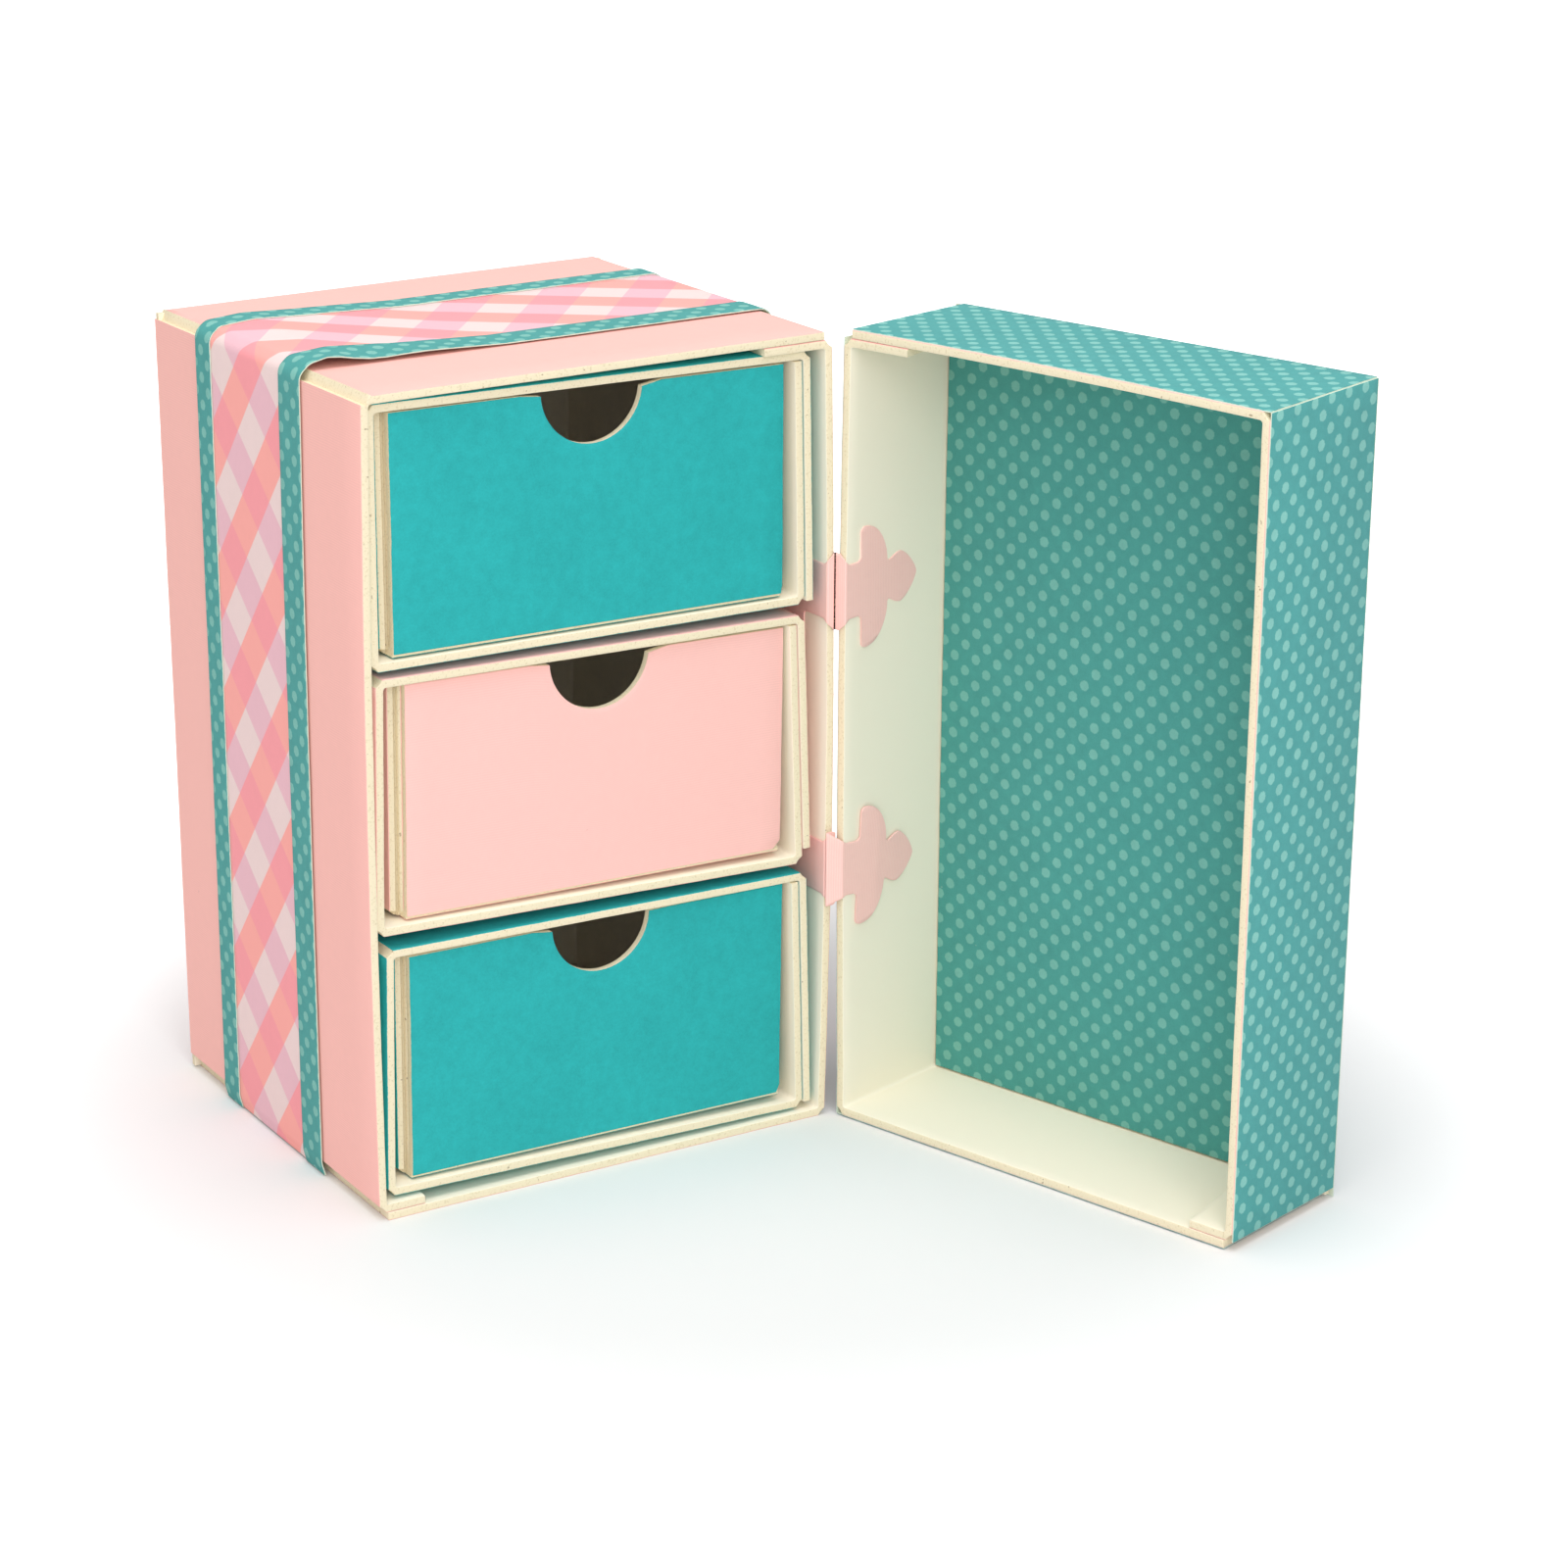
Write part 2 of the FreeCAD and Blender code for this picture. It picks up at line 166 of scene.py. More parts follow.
board = 1.5 * mm
glue_line = 0.1 * mm
score_reach = 1.4 * mm
score_depth = 0.8 * mm
back_score_reach = 0.7 * mm
fold_radius = 0.6 * mm
panel_end_gap = 1.7 * mm
tab_long, tab_short = 14.2 * mm, 9.0 * mm
station_step = 1.5 * mm
end_steps = np.array([0, 0.03, 0.12]) * mm
stations_across = 13

# Edge profiles, from the coloured face to the back: how far in from the edge, in millimetres, and at
# what share of the thickness. A sheet's cut ends are rounded over the shares in end_rounding.
cut_edge = [(0.12, 0), (0.035, 0.023), (0, 0.08), (0, 0.36), (0, 0.64), (0, 0.92), (0.035, 0.977), (0.12, 1)]
back_fold_edge = [(0.7, 0), (0.55, 0.135), (0.4, 0.267), (0.42, 0.52), (1.5, 0.54), (1.5, 1)]
end_rounding = 0.08, 0.023


def wander(along, size, seed):
    """Unevenness of a hand-cut edge: the sum of four sines of unlike length, with phases set by seed."""
    phases = np.random.default_rng(seed).uniform(0, 2 * np.pi, 4)
    lengths = np.array([3.7, 8.3, 21.0, 57.0]) * mm
    shares = np.array([0.25, 0.35, 0.5, 0.6])
    return size * (shares * np.sin(2 * np.pi * np.asarray(along)[..., None] / lengths + phases)).sum(-1)


def score_path(reach, depth):
    """Path of an even opened score: see folded_section."""
    return np.array([(reach, 0, 0), (depth, depth, depth), (0, reach, 0)])


def folded_section(corners, scores=None):
    """Stations along the section of a scored and folded board, from its outer corners in metres.

    On a straight run the outer station lies on the line between two corners, and the inner one lies
    a board to its left. Over a fold the outer station follows the opened score, and the inner one
    goes round an arc about a centre that lies board plus fold_radius from both faces.
    A score is a path of points (back along the first run from the corner, ahead along the second,
    depth of core that is bared), and scores gives one for each fold that isn't an even one. Bared is
    that depth as a share of the board, and start is each station's share of the first end's cut.
    """
    scores = scores or {}
    corners = np.array(corners, float)
    runs = np.diff(corners, axis=0)
    lengths = np.linalg.norm(runs, axis=1)
    headings = runs / lengths[:, None]
    lefts = np.stack([-headings[:, 1], headings[:, 0]], axis=1)
    turns = [math.atan2(a[0] * b[1] - a[1] * b[0], a @ b) for a, b in zip(headings, headings[1:])]
    inner_reaches = [(board + fold_radius) * math.tan(turn / 2) for turn in turns]
    outer, inner, along, bared, start = [], [], [], [], []
    last_run = len(runs) - 1
    paths = [scores.get(k, score_path(score_reach, score_depth)) for k in range(last_run)]
    before = np.concatenate([[0], np.cumsum(lengths)])
    for k, length in enumerate(lengths):
        steps = max(4, round(length / station_step))
        t = np.linspace(0, 1, steps + 1)
        ease = end_steps / length
        if k == 0:
            t = np.concatenate([ease, t[1:]])
        if k == last_run:
            t = np.concatenate([t[:-1], 1 - ease[::-1]])
        low = 0 if k == 0 else paths[k - 1][-1][1]
        high = length if k == last_run else length - paths[k][0][0]
        inner_low = 0 if k == 0 else inner_reaches[k - 1]
        inner_high = length if k == last_run else length - inner_reaches[k]
        at = low + (high - low) * t
        inner_at = inner_low + (inner_high - inner_low) * t
        outer.append(corners[k] + at[:, None] * headings[k])
        inner.append(corners[k] + inner_at[:, None] * headings[k] + board * lefts[k])
        along.append(before[k] + at)
        bared.append(0 * t)
        start.append(1 - t if k == 0 else 0 * t)
        if k < last_run:
            path = paths[k]
            stations = 4 * (len(path) - 1) + 1
            t = np.linspace(0, 1, stations)[1:-1]
            corner = corners[k + 1]
            back, ahead, cut = (np.interp(t, np.linspace(0, 1, len(path)), path[:, n]) for n in range(3))
            outer.append(corner - back[:, None] * headings[k] + ahead[:, None] * headings[k + 1])
            centre = corner - inner_reaches[k] * headings[k] + (board + fold_radius) * lefts[k]
            swing = turns[k] * t[:, None]
            inner.append(centre - fold_radius * (np.cos(swing) * lefts[k] - np.sin(swing) * headings[k]))
            along.append(before[k + 1] - path[0][0] * (1 - t) + path[-1][1] * t)
            bared.append(cut / board)
            start.append(0 * t)
    parts = {"outer": outer, "inner": inner, "along": along, "bared": bared, "start": start}
    section = {key: np.concatenate(values) for key, values in parts.items()}
    section["first heading"] = headings[0]
    pinch = np.zeros(len(section["along"]))
    pinch[[0, -1]], pinch[[1, -2]] = end_rounding
    section["pinch"] = pinch
    return section


def carried_along(
    section, near, far, shares,
    near_edge=cut_edge, far_edge=cut_edge, start_cut=None, uneven=0.05 * mm, seed=0,
):
    """Closed sheet made by carrying a section along y, as (points, sheet coordinates, tone, faces).

    Point (i, j) lies at depth j of the way from outer station i to inner station i, and at y j. As
    j runs, it goes down the near edge's profile, along the inner face, up the far edge's profile
    and back along the outer face. Tone is 0 on the coloured face and 1 on the back. The near and far
    edges wander by uneven, and start_cut gives how much is cut off the first end at each y.
    """
    shares = np.asarray(shares, float)
    near_in, near_depth = np.array(near_edge).T
    far_in, far_depth = np.array(far_edge).T
    inner_in = (near_in[-1] * (1 - shares) - far_in[-1] * shares)[1:-1]
    outer_in = (near_in[0] * (1 - shares) - far_in[0] * shares)[1:-1]
    across = np.concatenate([0 * near_in, shares[1:-1], 0 * far_in + 1, shares[-2:0:-1]])
    inset = np.concatenate([near_in, inner_in, -far_in[::-1], outer_in[::-1]]) * mm
    depth = np.concatenate([near_depth, 0 * inner_in + 1, far_depth[::-1], 0 * outer_in])
    along = section["along"]
    near = np.broadcast_to(near, along.shape)[:, None]
    far = np.broadcast_to(far, along.shape)[:, None]
    near = near + wander(along, uneven, seed)[:, None]
    far = far + wander(along, uneven, seed + 1)[:, None]
    y = near + across * (far - near) + inset
    pinch = section["pinch"][:, None]
    depth = pinch + (1 - 2 * pinch) * depth
    flat = section["outer"][:, None] * (1 - depth[..., None]) + section["inner"][:, None] * depth[..., None]
    if start_cut is not None:
        flat = flat + (start_cut(y) * section["start"][:, None])[..., None] * section["first heading"]
    bared = section["bared"][:, None]
    points = np.stack([flat[..., 0], y, flat[..., 1]], axis=-1)
    sheet = np.stack([np.broadcast_to(along[:, None], y.shape), y], axis=-1)
    tone = bared + (1 - bared) * depth
    count, ring = y.shape
    index = np.arange(count * ring).reshape(count, ring)
    round_on = np.roll(index, -1, axis=1)
    sides = np.stack([index[:-1], round_on[:-1], round_on[1:], index[1:]], axis=-1).reshape(-1, 4)
    far_start = len(near_edge) + len(inner_in)
    far_end = far_start + len(far_edge) - 1
    inner_ids = list(range(len(near_edge) - 1, far_start + 1))
    outer_ids = [0] + list(range(ring - 1, ring - 1 - len(outer_in), -1)) + [far_end]
    near_ids = list(range(1, len(near_edge) - 1))
    far_ids = list(range(far_start + 1, far_end))
    cap = [
        [outer_ids[k]] + (near_ids if k == 0 else []) + [inner_ids[k], inner_ids[k + 1]]
        + (far_ids if k == len(inner_ids) - 2 else []) + [outer_ids[k + 1]]
        for k in range(len(inner_ids) - 1)
    ]
    first = (count - 1) * ring
    faces = sides.tolist() + [face[::-1] for face in cap] + [[first + id for id in face] for face in cap]
    return points.reshape(-1, 3), sheet.reshape(-1, 2), tone.ravel(), faces


def plate(outline, rings, uneven=0.0, seed=0):
    """Flat plate with (x, z) corners, as (points, sheet coordinates, tone, faces).

    A ring is (inset, y, tone): the outline moved in along its mitres by inset, at that y. Rings are
    joined in order, and the first and last are filled. Each side wanders by uneven between its corners.
    """
    corners = np.array(outline, float)
    runs = np.roll(corners, -1, axis=0) - corners
    lengths = np.linalg.norm(runs, axis=1)
    headings = runs / lengths[:, None]
    lefts = np.stack([-headings[:, 1], headings[:, 0]], axis=1)
    before = np.roll(lefts, 1, axis=0)
    mitres = (lefts + before) / (1 + (lefts * before).sum(1))[:, None]
    counts = [max(2, round(length / station_step)) for length in lengths]
    along = [np.linspace(0, 1, count, endpoint=False) for count in counts]
    levels, sheets, tones = [], [], []
    for inset, y, tone in rings:
        moved = corners + inset * mitres
        ahead = np.roll(moved, -1, axis=0)
        ring = np.concatenate([moved[k] + t[:, None] * (ahead[k] - moved[k]) for k, t in enumerate(along)])
        stray = np.concatenate([
            (wander(t * lengths[k], uneven, seed + k) * np.sin(np.pi * t) ** 0.5)[:, None] * lefts[k]
            for k, t in enumerate(along)
        ])
        ring = ring + stray
        levels.append(np.stack([ring[:, 0], np.full(len(ring), y), ring[:, 1]], axis=-1))
        sheets.append(ring)
        tones.append(np.full(len(ring), tone))
    ring_size = len(levels[0])
    index = np.arange(len(rings) * ring_size).reshape(len(rings), ring_size)
    round_on = np.roll(index, -1, axis=1)
    sides = np.stack([index[:-1], round_on[:-1], round_on[1:], index[1:]], axis=-1).reshape(-1, 4)
    faces = sides.tolist() + [index[0][::-1].tolist(), index[-1].tolist()]
    return np.concatenate(levels), np.concatenate(sheets), np.concatenate(tones), faces


def outward(points, faces):
    """Faces of a closed surface turned outwards: they are reversed if the volume comes out negative."""
    corners = np.array([face[:3] for face in faces])
    a, b, c = (points[corners[:, k]] for k in range(3))
    weights = np.array([len(face) - 2 for face in faces])
    volume = (np.einsum("ij,ij->i", a, np.cross(b, c)) * weights).sum()
    return [face[::-1] for face in faces] if volume < 0 else faces


sharp_from = math.radians(52)


def make_piece(name, patches, material, body, slot, replaced):
    """Joins patches into one mesh with their sheet coordinates as UV map and tone as attribute.

    Without a body the piece is left unattached.
    """
    points, sheet, tone, faces = [], [], [], []
    start = 0
    for patch_points, patch_sheet, patch_tone, patch_faces in patches:
        points.append(patch_points)
        sheet.append(patch_sheet)
        tone.append(patch_tone)
        faces += [[start + id for id in face] for face in outward(patch_points, patch_faces)]
        start += len(patch_points)
    mesh = bpy.data.meshes.new(name)
    mesh.from_pydata(np.concatenate(points).tolist(), [], faces)
    tone_data = mesh.attributes.new("tone", "FLOAT", "POINT").data
    tone_data.foreach_set("value", np.concatenate(tone).astype(np.float32))
    corner_point = np.zeros(len(mesh.loops), np.int32)
    mesh.loops.foreach_get("vertex_index", corner_point)
    corner_sheet = np.concatenate(sheet)[corner_point].astype(np.float32)
    mesh.uv_layers.new(name="sheet").data.foreach_set("uv", corner_sheet.ravel())
    mesh.polygons.foreach_set("use_smooth", np.ones(len(mesh.polygons), bool))
    mesh.set_sharp_from_angle(angle=sharp_from)
    mesh.materials.append(material)
    mesh.update()
    piece = bpy.data.objects.new(name, mesh)
    bpy.context.scene.collection.objects.link(piece)
    if body:
        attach(piece, body)
    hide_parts(*replaced)
    return piece


def placed(patches, place):
    """The same patches with their points put through place."""
    return [(place(points), sheet, tone, faces) for points, sheet, tone, faces in patches]


# The case's top-left fold has split open: its score is wide, and notched at the corner.
wide_score = np.array([(1.4, 0, 0), (1.65, 1.1, 0.9), (0.5, 1.5, 0.7), (-0.15, 1.75, 0.4), (0, 2.1, 0)]) * mm


def tray(width, depth, height, seed, top_score=None):
    """Patches of a folded tray: its hinged strip, its free strip and its back panel.

    x runs from the hinged wall, y from the rim and z from the underside. The free wall starts one
    board up on the bottom panel, so the top panel slopes down to it by a board over the width. The
    fold between them has the score top_score, if that is given.
    """
    wall_top = height - board

    def under_top(x):
        """Height of the tab's upper face, glued under the sloping top panel."""
        return height - board * x / width - board - glue_line

    hinged = folded_section([
        (tab_long, under_top(tab_long)),
        (0, under_top(0)),
        (0, 0),
        (width - panel_end_gap, 0),
    ])
    free = folded_section([
        (width - tab_long, board + glue_line),
        (width, board + glue_line),
        (width, wall_top),
        (panel_end_gap, height - board * panel_end_gap / width),
    ], scores={} if top_score is None else {1: top_score})
    shares = np.linspace(0, 1, stations_across)

    def rear_slant(y):
        """The tab narrows towards the back by this much."""
        return (tab_long - tab_short) * y / depth

    def front_slant(y):
        """The tab narrows towards the front by this much."""
        return (tab_long - tab_short) * (1 - y / depth)

    hinged_strip = carried_along(
        hinged, 0, depth, shares, far_edge=back_fold_edge, start_cut=rear_slant, seed=seed
    )
    free_strip = carried_along(
        free, 0, depth, shares, far_edge=back_fold_edge, start_cut=front_slant, seed=seed + 2
    )
    rabbet = 0.4 * mm
    back_outline = [
        (rabbet, rabbet),
        (width - rabbet, rabbet),
        (width - rabbet, wall_top - rabbet),
        (rabbet, height - rabbet),
    ]
    lip = back_score_reach - rabbet
    back_rings = [
        (0, depth - board, 1),
        (0, depth - rabbet, 0.27),
        (lip / 2, depth - rabbet / 2, 0.14),
        (lip, depth, 0),
    ]
    return [hinged_strip, free_strip, plate(back_outline, back_rings)]


def linear(red, green, blue):
    """Colour as Blender's nodes take it, from 8-bit screen values."""
    screen = np.array([red, green, blue]) / 255
    return (*np.where(screen < 0.04045, screen / 12.92, ((screen + 0.055) / 1.055) ** 2.4), 1.0)


def new_group(name, inputs, outputs):
    """Shader node group, as (group, what comes in, what goes out).

    Its sockets are given as {name: (kind, default)} and {name: kind}.
    """
    group = bpy.data.node_groups.new(name, "ShaderNodeTree")
    for label, (kind, default) in inputs.items():
        socket = group.interface.new_socket(name=label, in_out="INPUT", socket_type="NodeSocket" + kind)
        if default is not None:
            socket.default_value = default
    for label, kind in outputs.items():
        group.interface.new_socket(name=label, in_out="OUTPUT", socket_type="NodeSocket" + kind)
    return group, group.nodes.new("NodeGroupInput").outputs, group.nodes.new("NodeGroupOutput").inputs


first_colour, second_colour, mixed_colour = 6, 7, 2


def blend_colour(tree, factor, first, second, blend_type="MIX"):
    """Mix node between two colours, whose sockets have to be given by their numbers."""
    made = add(tree, "Mix", {"Factor": factor}, data_type="RGBA", blend_type=blend_type)
    for number, value in ((first_colour, first), (second_colour, second)):
        if isinstance(value, bpy.types.NodeSocket):
            tree.links.new(value, made.inputs[number])
        else:
            made.inputs[number].default_value = value
    return made.outputs[mixed_colour]


def noise(tree, vector, scale, detail=2.0, rough=0.5):
    """Noise texture's value, with its scale in waves per millimetre."""
    settings = {"Vector": vector, "Scale": scale / mm, "Detail": detail, "Roughness": rough}
    return add(tree, "TexNoise", settings).outputs[0]


# Pulp: the fine mottle and stray fibres of matte paper, as a lightness about 1 and a height.
pulp, pulp_in, pulp_out = new_group(
    "pulp",
    {"Vector": ("Vector", None), "Mottle": ("Float", 0.05), "Flecks": ("Float", 0.2)},
    {"Lightness": "Float", "Height": "Float"},
)
fine = noise(pulp, pulp_in["Vector"], 3.2, 3.0, 0.65)
broad = noise(pulp, pulp_in["Vector"], 0.09, 2.0)
cloudy = noise(pulp, pulp_in["Vector"], 0.5, 2.0, 0.6)
speck = noise(pulp, pulp_in["Vector"], 0.55, 1.0)
dark_speck = ramp(pulp, speck, 0.80, 0.84)
mean_of_noises, mottle_gain = 1.25, 2.2
spread = sums(pulp, "MULTIPLY_ADD", broad, 0.5, sums(pulp, "SUBTRACT", fine, mean_of_noises))
spread = sums(pulp, "ADD", spread, cloudy)
mottled = sums(pulp, "MULTIPLY_ADD", spread, sums(pulp, "MULTIPLY", pulp_in["Mottle"], mottle_gain), 1.0)
flecked = sums(pulp, "MULTIPLY", dark_speck, pulp_in["Flecks"])
pulp.links.new(sums(pulp, "SUBTRACT", mottled, flecked), pulp_out["Lightness"])
pulp.links.new(fine, pulp_out["Height"])

# Cut board: what shows at a depth of the board, from the coloured face paper through the cream core
# to the cream back, with a ragged line where the face paper ends. The core has darker grit, and dark
# specks that are painted shade of small holes.
cream_core = linear(240, 227, 197)
core_grit = linear(214, 196, 158)
dark_hole_shade = linear(140, 112, 80)
cut_board, cut_in, cut_out = new_group(
    "cut board",
    {
        "Vector": ("Vector", None),
        "Tone": ("Float", 0.0),
        "Face": ("Color", white),
        "Core": ("Color", cream_core),
        "Back": ("Color", linear(250, 241, 221)),
        "Face depth": ("Float", 0.075),
    },
    {"Color": "Color", "Core mask": "Float"},
)
ragged = noise(cut_board, cut_in["Vector"], 1.7, 3.0, 0.6)
torn = sums(cut_board, "MULTIPLY_ADD", sums(cut_board, "SUBTRACT", ragged, 0.5), 0.10, cut_in["Tone"])
past_face = ramp(cut_board, sums(cut_board, "SUBTRACT", torn, cut_in["Face depth"]), -0.012, 0.012)
past_core = ramp(cut_board, cut_in["Tone"], 0.955, 0.975)
grit = noise(cut_board, cut_in["Vector"], 2.3, 2.0, 0.6)
stain = ramp(cut_board, grit, 0.54, 0.70, 0.0, 0.55)
# Painted shade: dark brown specks in the core stand for the shade inside small holes.
hole_shading = ramp(cut_board, noise(cut_board, cut_in["Vector"], 1.1, 1.0), 0.745, 0.785, 0.0, 0.6)
core = blend_colour(cut_board, stain, cut_in["Core"], core_grit)
core = blend_colour(cut_board, hole_shading, core, dark_hole_shade)
surface = blend_colour(cut_board, past_face, cut_in["Face"], core)
surface = blend_colour(cut_board, past_core, surface, cut_in["Back"])
cut_board.links.new(surface, cut_out["Color"])
in_core = sums(cut_board, "MULTIPLY", past_face, sums(cut_board, "SUBTRACT", 1.0, past_core))
cut_board.links.new(in_core, cut_out["Core mask"])

# Laid lines: the faint parallel ribs of laid paper, across the sheet's first coordinate.
laid, laid_in, laid_out = new_group(
    "laid lines", {"Sheet": ("Vector", None), "Pitch": ("Float", 0.45 * mm)}, {"Height": "Float"}
)
across_lines = add(laid, "SeparateXYZ", {"Vector": laid_in["Sheet"]}).outputs["X"]
wobble = noise(laid, laid_in["Sheet"], 0.12, 1.0)
wobbled = sums(laid, "MULTIPLY_ADD", wobble, 0.5 * mm, across_lines)
turns_of_line = sums(laid, "DIVIDE", sums(laid, "MULTIPLY", wobbled, 2 * math.pi), laid_in["Pitch"])
laid.links.new(sums(laid, "MULTIPLY_ADD", sums(laid, "SINE", turns_of_line), 0.5, 0.5), laid_out["Height"])


board_roughness, core_roughness, paper_roughness = 0.82, 0.96, 0.8
sheen = 0.25


def matte_sheet(name, roughness):
    """A new matte material with its shader, and its place, sheet coordinates and tone as outputs."""
    material = bpy.data.materials.new(name)
    material.use_nodes = True
    tree = material.node_tree
    shader = tree.nodes["Principled BSDF"]
    shader.inputs["Roughness"].default_value = roughness
    shader.inputs["Specular IOR Level"].default_value = sheen
    place = add(tree, "TexCoord").outputs["Object"]
    sheet = add(tree, "UVMap", uv_map="sheet").outputs["UV"]
    tone = add(tree, "Attribute", attribute_name="tone").outputs["Fac"]
    return material, shader, place, sheet, tone


def emboss(tree, shader, height, strength, distance):
    """Bumps the shader's surface by a height, where 1 stands for that distance."""
    bump = add(tree, "Bump", {"Strength": strength, "Distance": distance, "Height": height})
    tree.links.new(bump.outputs["Normal"], shader.inputs["Normal"])


def mat_board(name, face, lines, mottle, flecks=0.12, core=cream_core):
    """Matte mat board: face colour, how strongly its laid lines show, how mottled it is, and its core."""
    material, shader, place, sheet, tone = matte_sheet(name, board_roughness)
    tree = material.node_tree
    grain = add(tree, "Group", {"Vector": place, "Mottle": mottle, "Flecks": flecks}, node_tree=pulp).outputs
    ribs = add(tree, "Group", {"Sheet": sheet}, node_tree=laid).outputs["Height"]
    shown = sums(tree, "MULTIPLY_ADD", sums(tree, "SUBTRACT", ribs, 0.5), lines, grain["Lightness"])
    face_colour = blend_colour(tree, 1.0, face, shown, "MULTIPLY")
    cut = {"Vector": place, "Tone": tone, "Face": face_colour, "Core": core}
    layers = add(tree, "Group", cut, node_tree=cut_board).outputs
    tree.links.new(layers["Color"], shader.inputs["Base Color"])
    rough = ramp(tree, layers["Core mask"], 0.0, 1.0, board_roughness, core_roughness)
    tree.links.new(rough, shader.inputs["Roughness"])
    height = sums(tree, "MULTIPLY_ADD", ribs, lines * 4, grain["Height"])
    emboss(tree, shader, height, strength=0.25, distance=0.05 * mm)
    return material


pink_board = mat_board("pink mat board", linear(252, 192, 183), lines=0.05, mottle=0.018)
case_low, case_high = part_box("case_board")
case_width = case_high.x - case_low.x
case_depth = case_high.y - case_low.y
case_height = case_high.z + board * panel_end_gap / case_width
left_top_lean, left_swell, left_shift = 0.86 * mm, 0.38 * mm, 0.12 * mm
right_bow, right_shift = 1.15 * mm, 0.05 * mm
rear_lean = 0.45 * mm


def bowed(points):
    """The case's walls as they have bowed, for points in the part's frame.

    Each point moves sideways by the left wall's shift, blended over to the right wall's by how far
    across the case it lies. At the front the left wall bows out by a sine of its height and leans in
    by a power of it, and the right wall bows out by a sine. At the back both only lean, with their
    foot rear_lean further right.
    """
    x, y, z = points.T
    share = np.clip(z / case_height, 0, 1)
    swell = np.sin(np.pi * share)
    left = left_top_lean * share ** 2.2 - left_swell * swell - left_shift
    right = right_bow * swell - right_shift
    rear = rear_lean * (1 - share)
    across = np.clip(x / case_width + 0.5, 0, 1)
    back = np.clip(y / case_depth + 0.5, 0, 1)
    front_shift = left + across * (right - left)
    return np.stack([x + front_shift + back * (rear - front_shift), y, z], axis=-1)


def on_case(points):
    """From a tray's frame to the case, whose hinged wall is at the right, with its bowed walls."""
    return bowed(np.array([-1, 1, 1]) * points + np.array([case_width / 2, -case_depth / 2, 0]))


make_piece(
    "folded_case",
    placed(tray(case_width, case_depth, case_height, seed=10, top_score=wide_score), on_case),
    pink_board, "case", "pink_board", ["case_board"],
)


# Sleeves
# Three square tubes of the same board, each wound from one strip with the coloured face outside. The
# strip's end lies inside the right wall, so that wall is double. They stand on each other, unglued.

sleeve_names = ["bottom", "middle", "top"]
sleeve_play = 1.6 * mm
sleeve_side_gaps = np.array([0.7, 0.3, 0.35]) * mm
sleeve_under_gaps = np.array([0.9, 2.75, 1.35]) * mm
sleeve_leans = np.radians([1.2, 1.4, 0.1])
sleeve_splays = np.array([2.3, 2.9, 1.1]) * mm
sleeve_tapers = np.array([0.6, 1.3, 0.1]) * mm
sleeve_head_gap = 0.3 * mm
sleeve_setback = 1.2 * mm
sleeve_back_gap = 0.4 * mm
flap_gap = 0.3 * mm
flap_head_gap = 0.3 * mm
outer_layer_lifts = np.array([0.9, 2.8, 0.5]) * mm
sleeve_width = case_width - 2 * board - sleeve_play
sleeve_depth = case_depth - board - sleeve_setback - sleeve_back_gap
sleeve_height = (case_height - 4 * board - sleeve_under_gaps.sum() - sleeve_head_gap) / 3
flap_face = sleeve_width - board - flap_gap

teal_board = mat_board("teal mat board", linear(42, 171, 172), lines=0.0, mottle=0.14)
rose_board = mat_board("rose mat board", linear(254, 198, 191), lines=0.05, mottle=0.02)
boards = {
    "bottom": (teal_board, "teal_board"),
    "middle": (rose_board, "rose_board"),
    "top": (teal_board, "teal_board"),
}
# How far each sleeve's left wall has swayed to the right, at its foot and at its top.
left_sways = np.array([(0.0, 0.0), (-0.3, -0.35), (0.0, 0.25)]) * mm


def in_sleeve_place(level):
    """A function from a sleeve's own frame to its level in the case, where it leans to the right."""
    lean = sleeve_leans[level]
    foot = 2 * board + sleeve_under_gaps[: level + 1].sum() + level * sleeve_height
    left = board + sleeve_side_gaps[level] - case_width / 2

    def place(points):
        """Turns the points about the foot by the lean, and moves them to their place."""
        x, y, z = points.T
        return np.stack([
            left + x * math.cos(lean) + z * math.sin(lean),
            sleeve_setback - case_depth / 2 + y,
            foot - x * math.sin(lean) + z * math.cos(lean),
        ], axis=-1)

    return place


def sleeve_section(level):
    """Section of a sleeve. Both layers of its right wall lean in by its splay, over its height at the right.

    The left wall follows the case's bowed one, by a sway at its foot and one at its top.
    """
    foot_sway, top_sway = left_sways[level]
    right_height = sleeve_height + sleeve_tapers[level]
    lift = outer_layer_lifts[level]
    flap_height = right_height - board - flap_head_gap
    lean_in = sleeve_splays[level] / right_height
    return folded_section([
        (sleeve_width - lean_in * lift, lift),
        (sleeve_width - sleeve_splays[level], right_height),
        (top_sway, sleeve_height),
        (foot_sway, 0),
        (flap_face, 0),
        (flap_face - lean_in * flap_height, flap_height),
    ])


for level, name in enumerate(sleeve_names):
    shares = np.linspace(0, 1, stations_across)
    tube = carried_along(sleeve_section(level), 0, sleeve_depth, shares, seed=30 + 2 * level)
    material, slot = boards[name]
    body = "sleeve_" + name
    make_piece(name + "_sleeve", placed([tube], in_sleeve_place(level)), material, body, slot, [body])


# Drawers
# Three open trays, each of one blank. The front, bottom and back are one strip, and its front has a
# half-round thumb notch. The side walls fold up from it, and their tabs are glued inside the ends.

